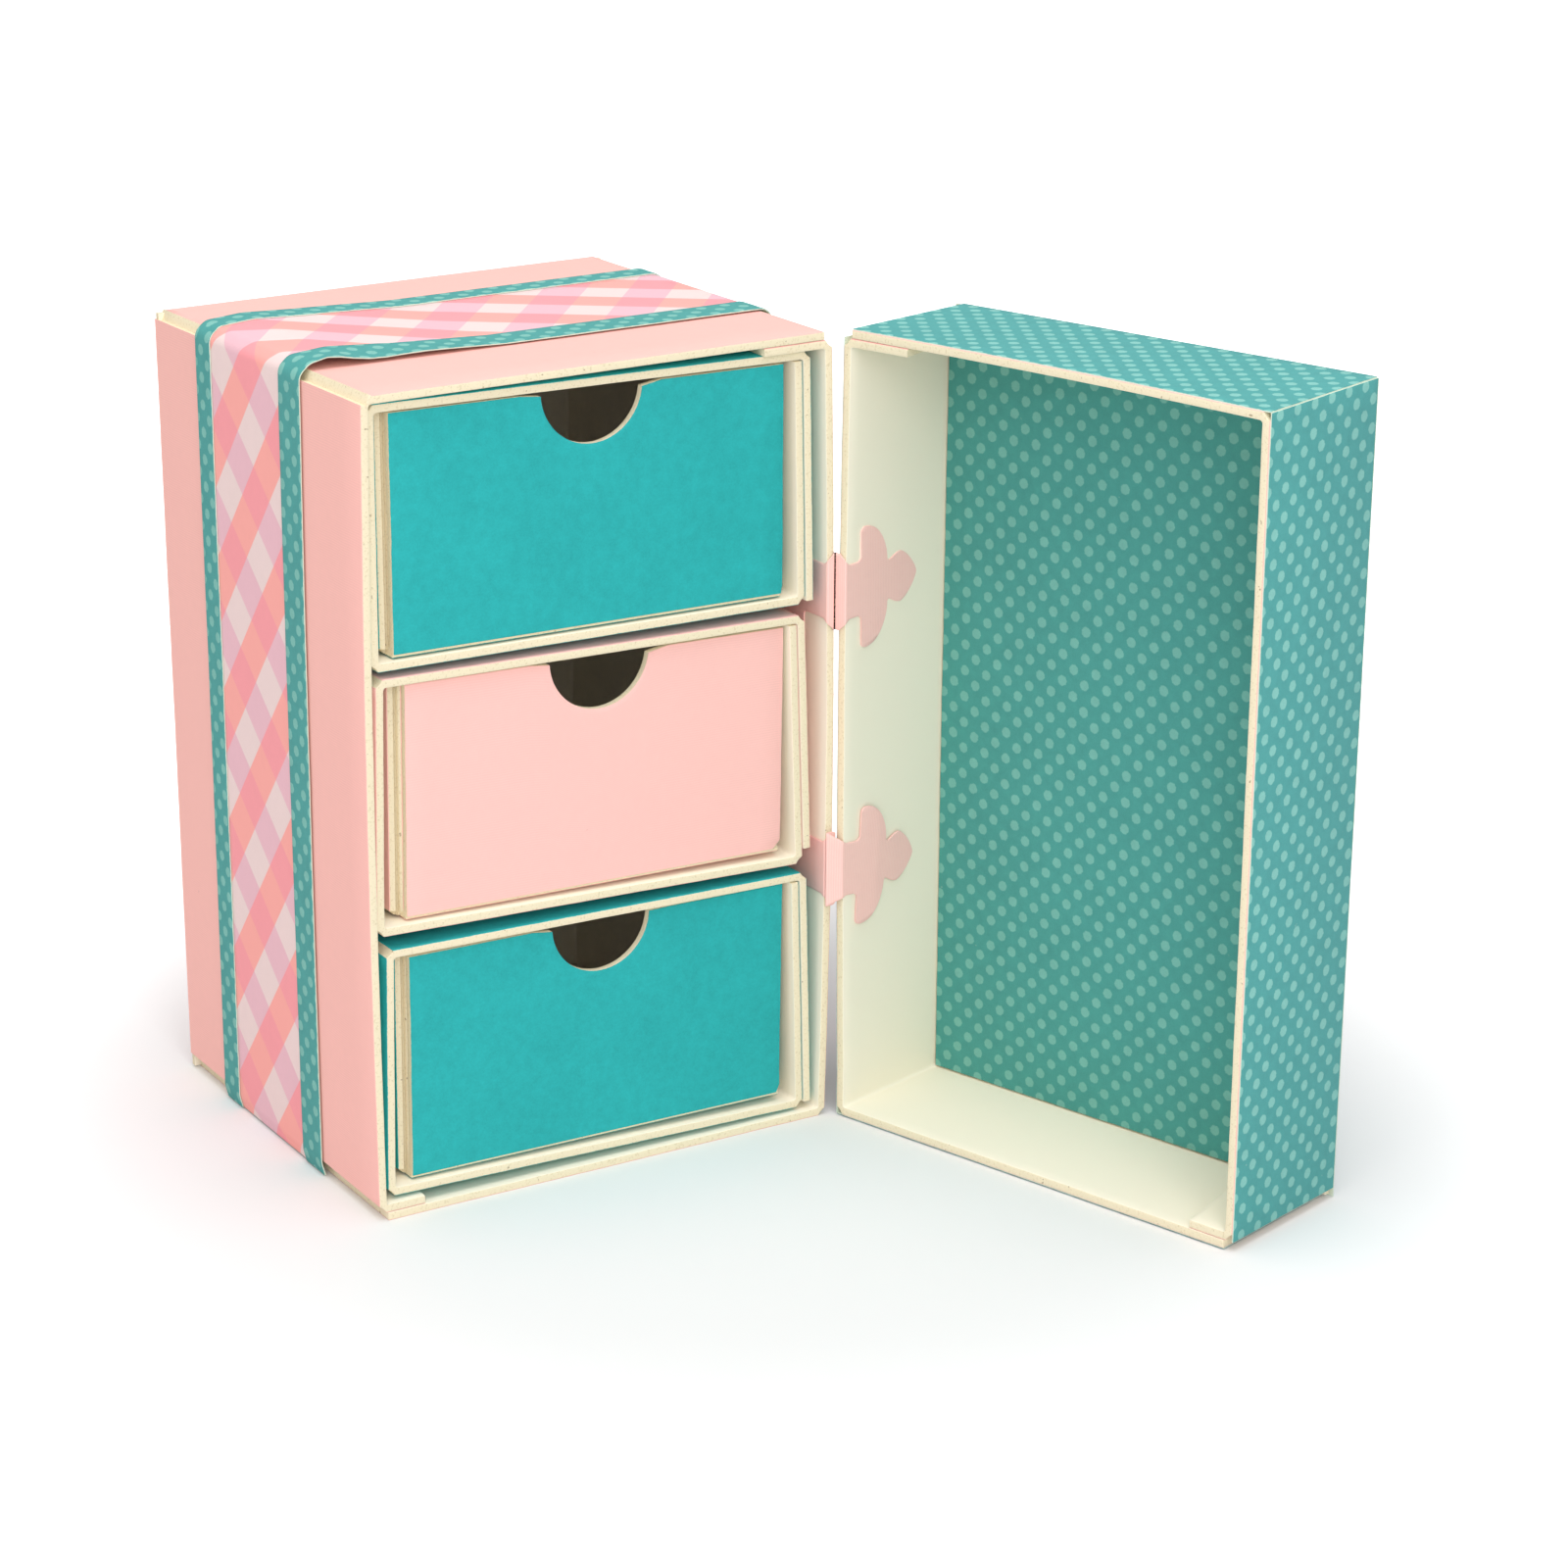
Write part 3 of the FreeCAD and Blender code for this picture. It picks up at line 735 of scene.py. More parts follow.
drawer_side_gaps = np.array([2.3, 2.45, 1.6]) * mm
drawer_slacks = np.array([5.1, 5.1, 4.4]) * mm
drawer_under_gap = 0.3 * mm
drawer_head_plays = np.array([1.1, 0.55, 0.7]) * mm
drawer_leans = np.radians([0.5, 0.8, 0.1])
drawer_setbacks = np.array([1.0, 1.0, 0.4]) * mm
drawer_back_gap = 0.3 * mm
front_insets = np.array([1.7, 2.15, 1.5]) * mm
front_right_inset = 0.3 * mm
drawer_tab = 12.0 * mm
notch_radius = 10.0 * mm
notch_rise = 0.3 * mm
snipped_corners = np.array([1.2, 2.4, 0.4]) * mm
snip_height = 1.8 * mm
round_stations, flat_stations, wall_stations = 41, 8, 9
slight_score = score_path(0.75 * mm, 0.5 * mm)
# A side wall's front fold has opened into a bevel, a slot and another bevel.
side_score = np.array([
    (1.1, 0, 0), (0.6, 0.95, 0.9), (1.2, 1.1, 0.9), (0.4, 1.3, 0.9),
    (0.9, 1.62, 0.9), (0.3, 1.75, 0.6), (0, 2.2, 0),
]) * mm
drawer_foot_edge = [(1.4, 0), (1.1, 0.27), (0.8, 0.533), (0.27, 0.8), (1.6, 0.81), (1.6, 1)]


def notched_shares(low, high):
    """Places across the front from low to high, even at both sides and even in angle round the notch."""
    angles = np.linspace(-1, 1, round_stations) * math.acos(notch_rise / notch_radius)
    round_notch = (low + high) / 2 + notch_radius * np.sin(angles)
    left = np.linspace(low, round_notch[0], flat_stations)[:-1]
    right = np.linspace(round_notch[-1], high, flat_stations)[1:]
    return (np.concatenate([left, round_notch, right]) - low) / (high - low)


def drawer_patches(level, seed):
    """Patches of a drawer: the strip of front, bottom and back, and its two side walls.

    The front's lower right corner is snipped off, by a length that falls to nothing over snip_height.
    """
    width = sleeve_width - 3 * board - flap_gap - drawer_slacks[level]
    height = sleeve_height - 2 * board - drawer_head_plays[level]
    depth = sleeve_depth - drawer_setbacks[level] - drawer_back_gap
    low, high = front_insets[level], width - front_right_inset

    def thumb_notch(y):
        """How deep the notch cuts in from the front's top edge: a circle's depth below the edge, or none."""
        off_centre = y - (low + high) / 2
        return np.maximum(0, np.sqrt(np.maximum(0, notch_radius ** 2 - off_centre ** 2)) - notch_rise)

    profile = [(0, height), (0, 0), (depth, 0), (depth, height)]
    lengthwise = folded_section(profile, scores={0: slight_score, 1: slight_score})
    above_foot = np.where(lengthwise["along"] < height, height - lengthwise["along"], depth)
    snip = snipped_corners[level] * np.clip(1 - above_foot / snip_height, 0, 1)
    shares = notched_shares(low, high)
    strip = carried_along(lengthwise, low, high - snip, shares, start_cut=thumb_notch, seed=seed)
    side_section = folded_section([
        (drawer_tab, depth - board - glue_line),
        (0, depth - board - glue_line),
        (0, board + glue_line),
        (drawer_tab, board + glue_line),
    ], scores={1: side_score})

    def left_wall(points):
        """From the section's frame, carried upwards, to the drawer's."""
        return points[:, [0, 2, 1]]

    def right_wall(points):
        """The left wall's mirror image."""
        return left_wall(points) * np.array([-1, 1, 1]) + np.array([width, 0, 0])

    patches = placed([strip], lambda points: points[:, [1, 0, 2]])
    shares = np.linspace(0, 1, wall_stations)
    for side, place in enumerate((left_wall, right_wall)):
        wall = carried_along(
            side_section, 0, height, shares, near_edge=drawer_foot_edge, seed=seed + 2 + side
        )
        patches += placed([wall], place)
    return patches


def in_drawer_place(level):
    """A function from a drawer's own frame to its sleeve's, where it leans by less than the sleeve does."""
    lean = drawer_leans[level] - sleeve_leans[level]
    foot = np.array([board + drawer_side_gaps[level], drawer_setbacks[level], board + drawer_under_gap])

    def place(points):
        """Turns the points about the foot by the lean, and moves them to their place."""
        x, y, z = points.T
        return foot + np.stack([
            x * math.cos(lean) + z * math.sin(lean), y, z * math.cos(lean) - x * math.sin(lean),
        ], axis=-1)

    return place


for level, name in enumerate(sleeve_names):
    in_sleeve = placed(drawer_patches(level, seed=50 + 10 * level), in_drawer_place(level))
    material, slot = boards[name]
    body = "drawer_" + name
    make_piece(name + "_drawer", placed(in_sleeve, in_sleeve_place(level)), material, body, slot, [body])


# Cover
# A shallower tray folded as the case is, of the same pink board, whose outside is papered over. It
# stands on its lower end, turned out about the hinges.

paper = 0.25 * mm
cover_narrowing = 2.2 * mm
cover_depth = 31.6 * mm
cover_lift = 0.2 * mm
cover_rise = 0.6 * mm
rim_gap = 0.8 * mm
pivot_reach = 1.0 * mm
open_angle = math.radians(106.6)
cover_width = case_width - cover_narrowing
cover_height = case_height + cover_rise - cover_lift
pivot = np.array([case_width / 2 + pivot_reach, -case_depth / 2 - rim_gap / 2, 0])
cover_bow, cover_top_bow = 0.68 * mm, 0.12 * mm
bow_foot = 10.0 * mm
bow_whole, bow_gone = 2.5 * mm, 12.0 * mm
front_crown = 0.4 * mm
free_front_rise, free_rear_rise = 0.35 * mm, 1.2 * mm


def bow_at(z):
    """How far the cover's hinged wall bows out at its rim: a rounded sine of the height and a share of it."""
    share = np.clip((z - bow_foot) / (cover_height - bow_foot), 0, 1)
    return cover_bow * np.sin(np.pi * share) ** 0.8 + cover_top_bow * share


def on_cover(points):
    """From a tray's frame to the open cover: turned about the pivot line by the open angle less 180 degrees.

    The hinged wall's bow dies away with the square of the depth, and from bow_whole to bow_gone away
    from the wall. Everything stretches upwards in step with its height, most at the top of the free
    wall's rear, so that the top panel is nearly level. Its front is crowned by a sine.
    """
    turn = open_angle - math.pi
    x, y, z = points.T
    across = np.clip(x / cover_width, 0, 1)
    deep = np.clip(y / cover_depth, 0, 1)
    free_rise = free_front_rise + (free_rear_rise - free_front_rise) * deep
    stretch = front_crown * np.sin(np.pi * across) * (1 - deep) + across * free_rise
    z = z + stretch * np.clip(z / cover_height, 0, 1)
    near_wall = np.clip((bow_gone - x) / (bow_gone - bow_whole), 0, 1)
    bow = bow_at(z) * near_wall * np.clip(1 - (y / cover_depth) ** 2, 0, 1)
    x, y, z = (np.stack([x - bow, y, z], axis=-1) + np.array([pivot_reach, rim_gap / 2, cover_lift])).T
    return pivot + np.stack([
        x * math.cos(turn) - y * math.sin(turn),
        x * math.sin(turn) + y * math.cos(turn),
        z,
    ], axis=-1)


cover_tray = tray(cover_width - 2 * paper, cover_depth - paper, cover_height - 2 * paper, seed=80)
cover_tray = placed(cover_tray, lambda points: points + np.array([paper, 0, paper]))
make_piece(
    "folded_cover", placed(cover_tray, on_cover), pink_board, "cover", "pink_board", ["cover_board"],
)


# Cover papers and lining
# Printed paper in teal with pale spots, glued on the cover's five outer faces, and a deeper piece of
# it inside the large face, in darker inks that are painted shade of the cover's hollow. The spots stand
# in rows, with one more in the middle of each square.

spot_pitch = 5.02 * mm
spot_radius = 0.98 * mm

spots, spots_in, spots_out = new_group(
    "spots",
    {
        "Sheet": ("Vector", None),
        "Vector": ("Vector", None),
        "Ground": ("Color", white),
        "Spot": ("Color", white),
        "Pitch": ("Float", spot_pitch),
        "Radius": ("Float", spot_radius),
    },
    {"Color": "Color"},
)


def distance_to_lattice(tree, sheet, pitch, shift):
    """Distance from a point to the nearest corner of a square lattice, moved by a share of its pitch."""
    pitches = add(tree, "CombineXYZ", {"X": pitch, "Y": pitch, "Z": 1.0}).outputs[0]
    cells = add(tree, "VectorMath", {0: sheet, 1: pitches}, operation="DIVIDE").outputs[0]
    moved = add(tree, "VectorMath", {0: cells, 1: (shift, shift, 0)}, operation="ADD").outputs[0]
    half = (0.5, 0.5, 0.5)
    minus_half = (-0.5, -0.5, -0.5)
    wrapped = add(tree, "VectorMath", {0: moved, 1: half, 2: minus_half}, operation="WRAP").outputs[0]
    flat = add(tree, "VectorMath", {0: wrapped, 1: (1, 1, 0)}, operation="MULTIPLY").outputs[0]
    length = add(tree, "VectorMath", {0: flat}, operation="LENGTH").outputs["Value"]
    return sums(tree, "MULTIPLY", length, pitch)


nearest = sums(
    spots, "MINIMUM",
    distance_to_lattice(spots, spots_in["Sheet"], spots_in["Pitch"], 0.0),
    distance_to_lattice(spots, spots_in["Sheet"], spots_in["Pitch"], 0.5),
)
smudge = sums(spots, "SUBTRACT", noise(spots, spots_in["Vector"], 2.5), 0.5)
spot_edge = sums(spots, "MULTIPLY_ADD", smudge, 0.45 * mm, nearest)
off_spot = sums(spots, "SUBTRACT", spot_edge, spots_in["Radius"])
on_spot = ramp(spots, off_spot, -0.12 * mm, 0.12 * mm, 1.0, 0.0)
spots.links.new(blend_colour(spots, on_spot, spots_in["Ground"], spots_in["Spot"]), spots_out["Color"])


print_mottle = 0.09
paper_stock = linear(214, 226, 208)


def printed_paper(name, ground, spot, shift=(0.0, 0.0)):
    """Matte printed paper with spots. Its cut edges show the white stock, and shift moves the rows."""
    material, shader, place, sheet, tone = matte_sheet(name, paper_roughness)
    tree = material.node_tree
    sheet = add(tree, "Mapping", {"Vector": sheet, "Location": (*shift, 0)}).outputs[0]
    inks = {"Sheet": sheet, "Vector": place, "Ground": ground, "Spot": spot}
    print_of = add(tree, "Group", inks, node_tree=spots).outputs[0]
    fibres = {"Vector": place, "Mottle": print_mottle, "Flecks": 0.0}
    grain = add(tree, "Group", fibres, node_tree=pulp).outputs
    face = blend_colour(tree, 1.0, print_of, grain["Lightness"], "MULTIPLY")
    worn = sums(tree, "MULTIPLY_ADD", noise(tree, place, 0.9, 2.0), 0.7, sums(tree, "SUBTRACT", tone, 0.35))
    edge_shows = ramp(tree, worn, 0.18, 0.30)
    tree.links.new(blend_colour(tree, edge_shows, face, paper_stock), shader.inputs["Base Color"])
    emboss(tree, shader, grain["Height"], strength=0.2, distance=0.04 * mm)
    return material


dotted_paper = printed_paper("spotted paper", linear(84, 161, 159), linear(132, 194, 186))
# The lining is the same paper with darker ground and spot colours, as painted shade of the hollow inside the
# cover.
shaded_lining_paper = printed_paper("spotted lining in painted shade", linear(76, 155, 149), linear(116, 182, 172))


def sheet_rings(face_y, back_y):
    """Rings of a paper plate, from its printed face at face_y to its back at back_y."""
    inward = 1 if back_y > face_y else -1
    return [
        (0.07 * mm, face_y, 0),
        (0.015 * mm, face_y + inward * 0.03 * mm, 0.08),
        (0, face_y + inward * 0.09 * mm, 0.5),
        (0, back_y, 1),
    ]


wall_top = cover_height - paper - board
free_face = cover_width - paper
side_depth = cover_depth - paper
paper_setback = 0.15 * mm
slope = board / (cover_width - 2 * paper)
snipped = 0.03 * mm
paper_edge = [(0.04, 0), (0.01, 0.12), (0, 0.5), (0, 1)]


def top_at(x):
    """Height of the cover board's sloping top face."""
    return cover_height - paper - slope * (x - paper)


def plain_section(outer, inner, along):
    """Section of a sheet without scores, with its two faces as arrays of points at each station."""
    section = {"outer": outer, "inner": inner, "along": along}
    for key in ("bared", "start", "pinch"):
        section[key] = np.zeros(len(along))
    return section


def paper_strip(outer, inner, along, seed):
    """Strip of paper over the cover's depth, from arrays of x and z along its printed and glued faces."""
    section = plain_section(np.stack(outer, axis=-1), np.stack(inner, axis=-1), along)
    shares = np.linspace(0, 1, stations_across)
    return carried_along(
        section, paper_setback, side_depth, shares,
        near_edge=paper_edge, far_edge=paper_edge, uneven=snipped, seed=seed,
    )


def cover_print(name, patch, node, turned=None):
    """Spotted paper on the cover. A plate's x, y and z are first put in the order turned, if it is given."""
    patches = placed([patch], lambda points: points[:, turned]) if turned else [patch]
    make_piece(name, placed(patches, on_cover), dotted_paper, "cover", "dotted_paper", [node])


front_outline = [(0, 0), (cover_width, 0), (cover_width, wall_top), (0, wall_top + board)]
front_paper = plate(front_outline, sheet_rings(cover_depth, side_depth), uneven=snipped, seed=91)
cover_print("cover_front_print", front_paper, "cover_front_paper")

stations_up, stations_over_top = 70, 50
upward = np.linspace(paper, wall_top, stations_up)
hinge_side = paper_strip((0 * upward, upward), (0 * upward + paper, upward), upward, seed=101)
cover_print("cover_hinge_side_print", hinge_side, "cover_hinge_side_paper")

free_low = paper + board
free_outline = [
    (paper_setback, free_low),
    (side_depth, free_low),
    (side_depth, wall_top),
    (paper_setback, wall_top),
]
free_side = plate(free_outline, sheet_rings(cover_width, free_face), uneven=snipped, seed=111)
cover_print("cover_free_side_print", free_side, "cover_free_side_paper", turned=[1, 0, 2])

low_end = free_face - panel_end_gap
low_outline = [(paper, paper_setback), (low_end, paper_setback), (low_end, side_depth), (paper, side_depth)]
underside = plate(low_outline, sheet_rings(0, paper), uneven=snipped, seed=121)
cover_print("cover_bottom_print", underside, "cover_bottom_paper", turned=[0, 2, 1])

top_run = np.linspace(paper + panel_end_gap, free_face, stations_over_top)
topside = paper_strip((top_run, top_at(top_run) + paper), (top_run, top_at(top_run)), top_run, seed=131)
cover_print("cover_top_print", topside, "cover_top_paper")

lining_margin = 0.4 * mm
lining_left = paper + board + lining_margin
lining_right = free_face - board - lining_margin
lining_low = paper + board + lining_margin
lining_high = wall_top - board - lining_margin
tab_end = free_face - tab_long - lining_margin
lining_outline = [
    (lining_left, lining_low),
    (tab_end, lining_low),
    (tab_end, lining_low + board),
    (lining_right, lining_low + board),
    (lining_right, lining_high),
    (lining_left, lining_high),
]
lining_stand_off = 2.5 * mm
lining_face = side_depth - board - paper - lining_stand_off
lining = plate(lining_outline, sheet_rings(lining_face, side_depth - board), uneven=0.05 * mm, seed=141)
make_piece(
    "spotted_lining", placed([lining], on_cover), shaded_lining_paper, "cover", "dotted_lining", ["cover_lining"],
)


# Band
# Three strips of printed paper round the case: a wide one with a pink check, and a narrow spotted
# one over each of its edges. They stand off the case's top where they come loose over its left edge.

glue = 0.05 * mm
band_end_lift = 0.4 * mm
tail_tuck, tail_length = 0.6 * mm, 2.5 * mm
shoulder_out, shoulder_rise = 1.7 * mm, 1.0 * mm
crest_out, crest_rise = 8.5 * mm, 1.75 * mm
slope_out, slope_rise = 20.0 * mm, 1.15 * mm
landing_out = 38.6 * mm


def rounded_route(corners, radii, step=1.0 * mm):
    """Points and headings along an open path whose corners are tangent arcs of those radii.

    An arc starts the radius over the tangent of half its corner's angle before the corner. Its points
    are its centre plus the first spoke, turned by a share of the swing.
    """
    corners = np.array(corners, float)
    points, headings = [], []
    start = corners[0]
    for before, corner, after, radius in zip(corners, corners[1:], corners[2:], radii):
        back = (before - corner) / np.linalg.norm(before - corner)
        ahead = (after - corner) / np.linalg.norm(after - corner)
        half = math.acos(np.clip(back @ ahead, -1, 1)) / 2
        trim = radius / math.tan(half)
        enter, leave = corner + back * trim, corner + ahead * trim
        count = max(2, round(np.linalg.norm(enter - start) / (3 * step)))
        t = np.linspace(0, 1, count, endpoint=False)[:, None]
        points.append(start + t * (enter - start))
        headings.append(np.broadcast_to(-back, (count, 2)))
        swing = math.pi - 2 * half
        count = max(4, round(radius * swing / step))
        t = np.linspace(0, 1, count, endpoint=False)[:, None]
        centre = corner + (back + ahead) / np.linalg.norm(back + ahead) * radius / math.sin(half)
        spoke = enter - centre
        side = -back * radius
        points.append(centre + spoke * np.cos(swing * t) + side * np.sin(swing * t))
        headings.append(-back * np.cos(swing * t) - spoke / radius * np.sin(swing * t))
        start = leave
    count = max(2, round(np.linalg.norm(corners[-1] - start) / (3 * step)))
    t = np.linspace(0, 1, count + 1)[:, None]
    points.append(start + t * (corners[-1] - start))
    headings.append(np.broadcast_to(ahead, (count + 1, 2)))
    return np.concatenate(points), np.concatenate(headings)


case_wall_top = case_height - board
landing_height = case_wall_top + board * landing_out / case_width + glue
band_route = [
    (tail_tuck, band_end_lift),
    (-glue, band_end_lift + tail_length),
    (-glue, case_wall_top - score_reach / 2),
    (shoulder_out, case_wall_top + shoulder_rise),
    (crest_out, case_wall_top + crest_rise),
    (slope_out, case_wall_top + slope_rise),
    (landing_out, landing_height),
    (case_width + glue, case_height + glue),
    (case_width + glue, band_end_lift),
]
band_radii = np.array([4.0, 2.0, 2.0, 14.0, 60.0, 60.0, 2.0]) * mm
curl_rise, curl_dip, rear_sink = 0.55 * mm, 0.8 * mm, 0.2 * mm
band_middle = 29.0 * mm
curl_reach, sink_reach = 7.0 * mm, 33.0 * mm
route_points, route_headings = rounded_route(band_route, band_radii)
route_lefts = np.stack([-route_headings[:, 1], route_headings[:, 0]], axis=1)
route_steps = np.linalg.norm(np.diff(route_points, axis=0), axis=1)
route_along = np.concatenate([[0], np.cumsum(route_steps)]) + band_end_lift


def on_case_top(points):
    """From the route's frame to the case. Where the band is loose, it curls in front and sinks at the rear.

    The front rises by curl_rise near the case's left edge and dips by curl_dip past it, and the rear
    sinks by rear_sink: each is a bell curve of how far across the case the point lies.
    """
    x, y, z = points.T
    front_share = np.clip((band_middle - y) / curl_reach, 0, 1)
    rear_share = np.clip((y - band_middle) / sink_reach, 0, 1)

    def bell(centre, spread):
        """1 at the centre, falling off with the square of the distance over the spread, as a power of e."""
        return np.exp(-((x / mm - centre) / spread) ** 2)

    curl = curl_rise * bell(5.2, 2.4) - curl_dip * bell(13.5, 6.5)
    lift = front_share * curl - rear_share * rear_sink * bell(9.0, 8.0)
    loose = np.clip((z - case_wall_top) / mm, 0, 1)
    return bowed(np.stack([x - case_width / 2, y - case_depth / 2, z + lift * loose], axis=-1))


# Places along the route, in millimetres: its left end, a place on the left wall, where the band
# bends over that wall's top, where it comes down on the top panel, and beyond its right end.
band_marks = [0, 60, 149, 185, 400]
soften_reach = 12


def band_strip(near_line, far_line, under, seed, shares=9):
    """Strip of paper along the route, lying under off the case.

    The lines are its edges' y at band_marks, in millimetres. Each edge is the mean of the line over
    soften_reach stations to both sides.
    """
    printed = route_points + (under + paper) * route_lefts
    section = plain_section(printed, route_points + under * route_lefts, route_along)
    stations = 2 * soften_reach + 1
    edges = []
    for line in (near_line, far_line):
        edge = np.interp(route_along, np.array(band_marks) * mm, np.array(line) * mm)
        padded = np.pad(edge, soften_reach, mode="edge")
        edges.append(np.convolve(padded, np.ones(stations) / stations, mode="valid"))
    strip = carried_along(
        section, *edges, np.linspace(0, 1, shares),
        near_edge=paper_edge, far_edge=paper_edge, uneven=0.04 * mm, seed=seed,
    )
    return placed([strip], on_case_top)


# Check: two crossing sets of stripes that are half as wide as their pitch. The centre is a place
# along the route and a distance behind the rim, and the turn is in radians.
check_pitch = 16.0 * mm
check_turn = -2.266
check_centre = (121.8 * mm, 52.6 * mm, 0)
salmon_stripe, mauve_stripe = linear(255, 174, 166), linear(238, 190, 200)
pale_ground, crossing = linear(241, 216, 213), linear(252, 162, 168)
pink_stock = linear(246, 226, 218)

check, check_in, check_out = new_group(
    "check",
    {
        "Sheet": ("Vector", None),
        "Centre": ("Vector", (0, 0, 0)),
        "Pitch": ("Float", check_pitch),
        "Turn": ("Float", check_turn),
    },
    {"First": "Float", "Second": "Float"},
)


def stripe(tree, sheet, centre, pitch, turn, quarter):
    """1 on the stripes and 0 between them, for stripes square to the direction turn plus quarter."""
    away = add(tree, "VectorMath", {0: sheet, 1: centre}, operation="SUBTRACT").outputs[0]
    angle = sums(tree, "ADD", turn, quarter)
    cosine, sine = sums(tree, "COSINE", angle), sums(tree, "SINE", angle)
    direction = add(tree, "CombineXYZ", {"X": cosine, "Y": sine, "Z": 0.0}).outputs[0]
    along = add(tree, "VectorMath", {0: away, 1: direction}, operation="DOT_PRODUCT").outputs["Value"]
    phase = sums(tree, "PINGPONG", sums(tree, "DIVIDE", along, pitch), 0.5)
    return ramp(tree, phase, 0.245, 0.255)


sheet_in, centre_in, pitch_in, turn_in = (check_in[key] for key in ("Sheet", "Centre", "Pitch", "Turn"))
for label, quarter in (("First", 0.0), ("Second", math.pi / 2)):
    check.links.new(stripe(check, sheet_in, centre_in, pitch_in, turn_in, quarter), check_out[label])


def checked_paper(name):
    """Matte printed paper: a salmon and a mauve set of stripes cross on a pale pink ground."""
    material, shader, place, sheet, tone = matte_sheet(name, paper_roughness)
    tree = material.node_tree
    stripes = add(tree, "Group", {"Sheet": sheet, "Centre": check_centre}, node_tree=check).outputs
    plain = blend_colour(tree, stripes["Second"], pale_ground, mauve_stripe)
    crossed = blend_colour(tree, stripes["Second"], salmon_stripe, crossing)
    print_of = blend_colour(tree, stripes["First"], plain, crossed)
    fibres = {"Vector": place, "Mottle": 0.02, "Flecks": 0.0}
    grain = add(tree, "Group", fibres, node_tree=pulp).outputs
    face = blend_colour(tree, 1.0, print_of, grain["Lightness"], "MULTIPLY")
    edge_shows = ramp(tree, tone, 0.05, 0.3)
    tree.links.new(blend_colour(tree, edge_shows, face, pink_stock), shader.inputs["Base Color"])
    emboss(tree, shader, grain["Height"], strength=0.15, distance=0.04 * mm)
    return material


check_paper = checked_paper("checked paper")
make_piece(
    "checked_band", band_strip([26.0] * 5, [60.5] * 5, under=0, seed=151, shares=13),
    check_paper, "case", "gingham_paper", ["band_gingham"],
)
band_paper = printed_paper(
    "spotted band paper", linear(80, 158, 154), linear(126, 188, 178), shift=(0.0, -26.9 * mm)
)
front_near, front_far = [23.0, 22.0, 22.1, 21.0, 21.0], [30.8, 29.8, 30.3, 28.5, 28.5]
rear_near, rear_far = [59.3, 58.2, 58.4, 60.0, 60.0], [65.9, 64.4, 64.4, 65.5, 65.5]
make_piece(
    "front_spotted_band", band_strip(front_near, front_far, under=paper + glue, seed=161),
    band_paper, "case", "dotted_paper", ["band_dots_front"],
)
make_piece(
    "rear_spotted_band", band_strip(rear_near, rear_far, under=paper + glue, seed=171),
    band_paper, "case", "dotted_paper", ["band_dots_back"],
)


# Hinges
# Two creased strips of thin pink card. Each end has a lily outline and is glued on a hinged wall's
# inner face, and between them the strip goes over both rims with its crease on the pivot line.

# The card's core colour is near black. It is painted shade, shown along the upper hinge's crease as the dark
# of its slit.
hinge_card = mat_board(
    "pink hinge card", linear(255, 206, 198), lines=0.09, mottle=0.03, flecks=0.1, core=linear(58, 34, 30)
)
hinge_heights = {"upper": 102.4 * mm, "lower": 49.4 * mm}
cover_leaf_tilts = {"upper": math.radians(1.0), "lower": math.radians(-4.0)}
card = 0.25 * mm
longer_neck = 3.5
crease_corner = 3
# Width of the painted shade along the crease, as the spread of its bell curve.
crease_shade_width = 0.24 * mm
route_step = 0.04 * mm
tilt_reach = 3.0 * mm

# The leaf's outline, as distances behind the rim and half heights in millimetres.
flare_end = 0.8
neck_spread, neck_end = 2.9, 4.0
crown, petal_end = 5.3, 11.3
petal_rise, petal_fall = 1.35, 6.05
swell_end, shoulder, tip = 12.0, 14.9, 19.6
crease_half, neck_half, neck_spread_half = 7.2, 5.1, 0.6
petal_root_half, crown_half, notch_half = 10.3, 11.4, 3.6
middle_root_half, middle_swell, middle_root_flare = 3.5, 1.3, 0.6
shoulder_half, tip_half = 4.8, 0.05

# Where stations stand closest behind the rim: at the outline's steps, its notch and its tip.
outline_marks = np.array([
    2.9, 3.2, 3.5, 3.8, 3.995, 4.005, 4.1, 4.3, 4.6, 5.0,
    10.9, 11.1, 11.2, 11.295, 11.305, 11.5, 11.7,
    18.9, 19.2, 19.4, 19.5, 19.57,
]) * mm
coarse_step, rim_step = 0.45 * mm, 0.1 * mm
stations_over_leaf = 25


def lily_half_height(reach, flare):
    """Half height of the leaf at a distance behind the rim, all in millimetres.

    A neck that widens over the flare to the crease; a pair of side petals that rise to their crown and
    fall to the notch by quarter ellipses; and a middle petal that swells by a sine to its shoulder and
    rounds to its tip.
    """
    widening = np.clip((flare_end - reach) / (flare_end + flare), 0, 1) ** 1.1
    spread = np.clip((reach - neck_spread) / (neck_end - neck_spread), 0, 1) ** 2
    neck = neck_half + (crease_half - neck_half) * widening + neck_spread_half * spread
    round_in = np.sqrt(np.clip(1 - ((crown - reach) / petal_rise) ** 2, 0, 1))
    fall = np.sqrt(np.clip(1 - ((reach - crown) / petal_fall) ** 2, 0, 1))
    rising = petal_root_half + (crown_half - petal_root_half) * round_in
    falling = notch_half + (crown_half - notch_half) * fall
    petal = np.where(reach < crown, rising, falling)
    to_shoulder = np.clip((reach - petal_end) / (shoulder - petal_end), 0, 1)
    root_flare = middle_root_flare * np.clip((swell_end - reach) / (swell_end - petal_end), 0, 1) ** 2
    swell = middle_root_half + middle_swell * np.sin(to_shoulder * math.pi / 2) ** 1.5 + root_flare
    to_tip = np.clip((reach - shoulder) / (tip - shoulder), 0, 1)
    rounding = shoulder_half * (1 - to_tip ** 1.5) ** 0.75 + tip_half
    middle = np.where(reach < shoulder, swell, rounding)
    return np.where(reach < neck_end, neck, np.where(reach < petal_end, petal, middle))


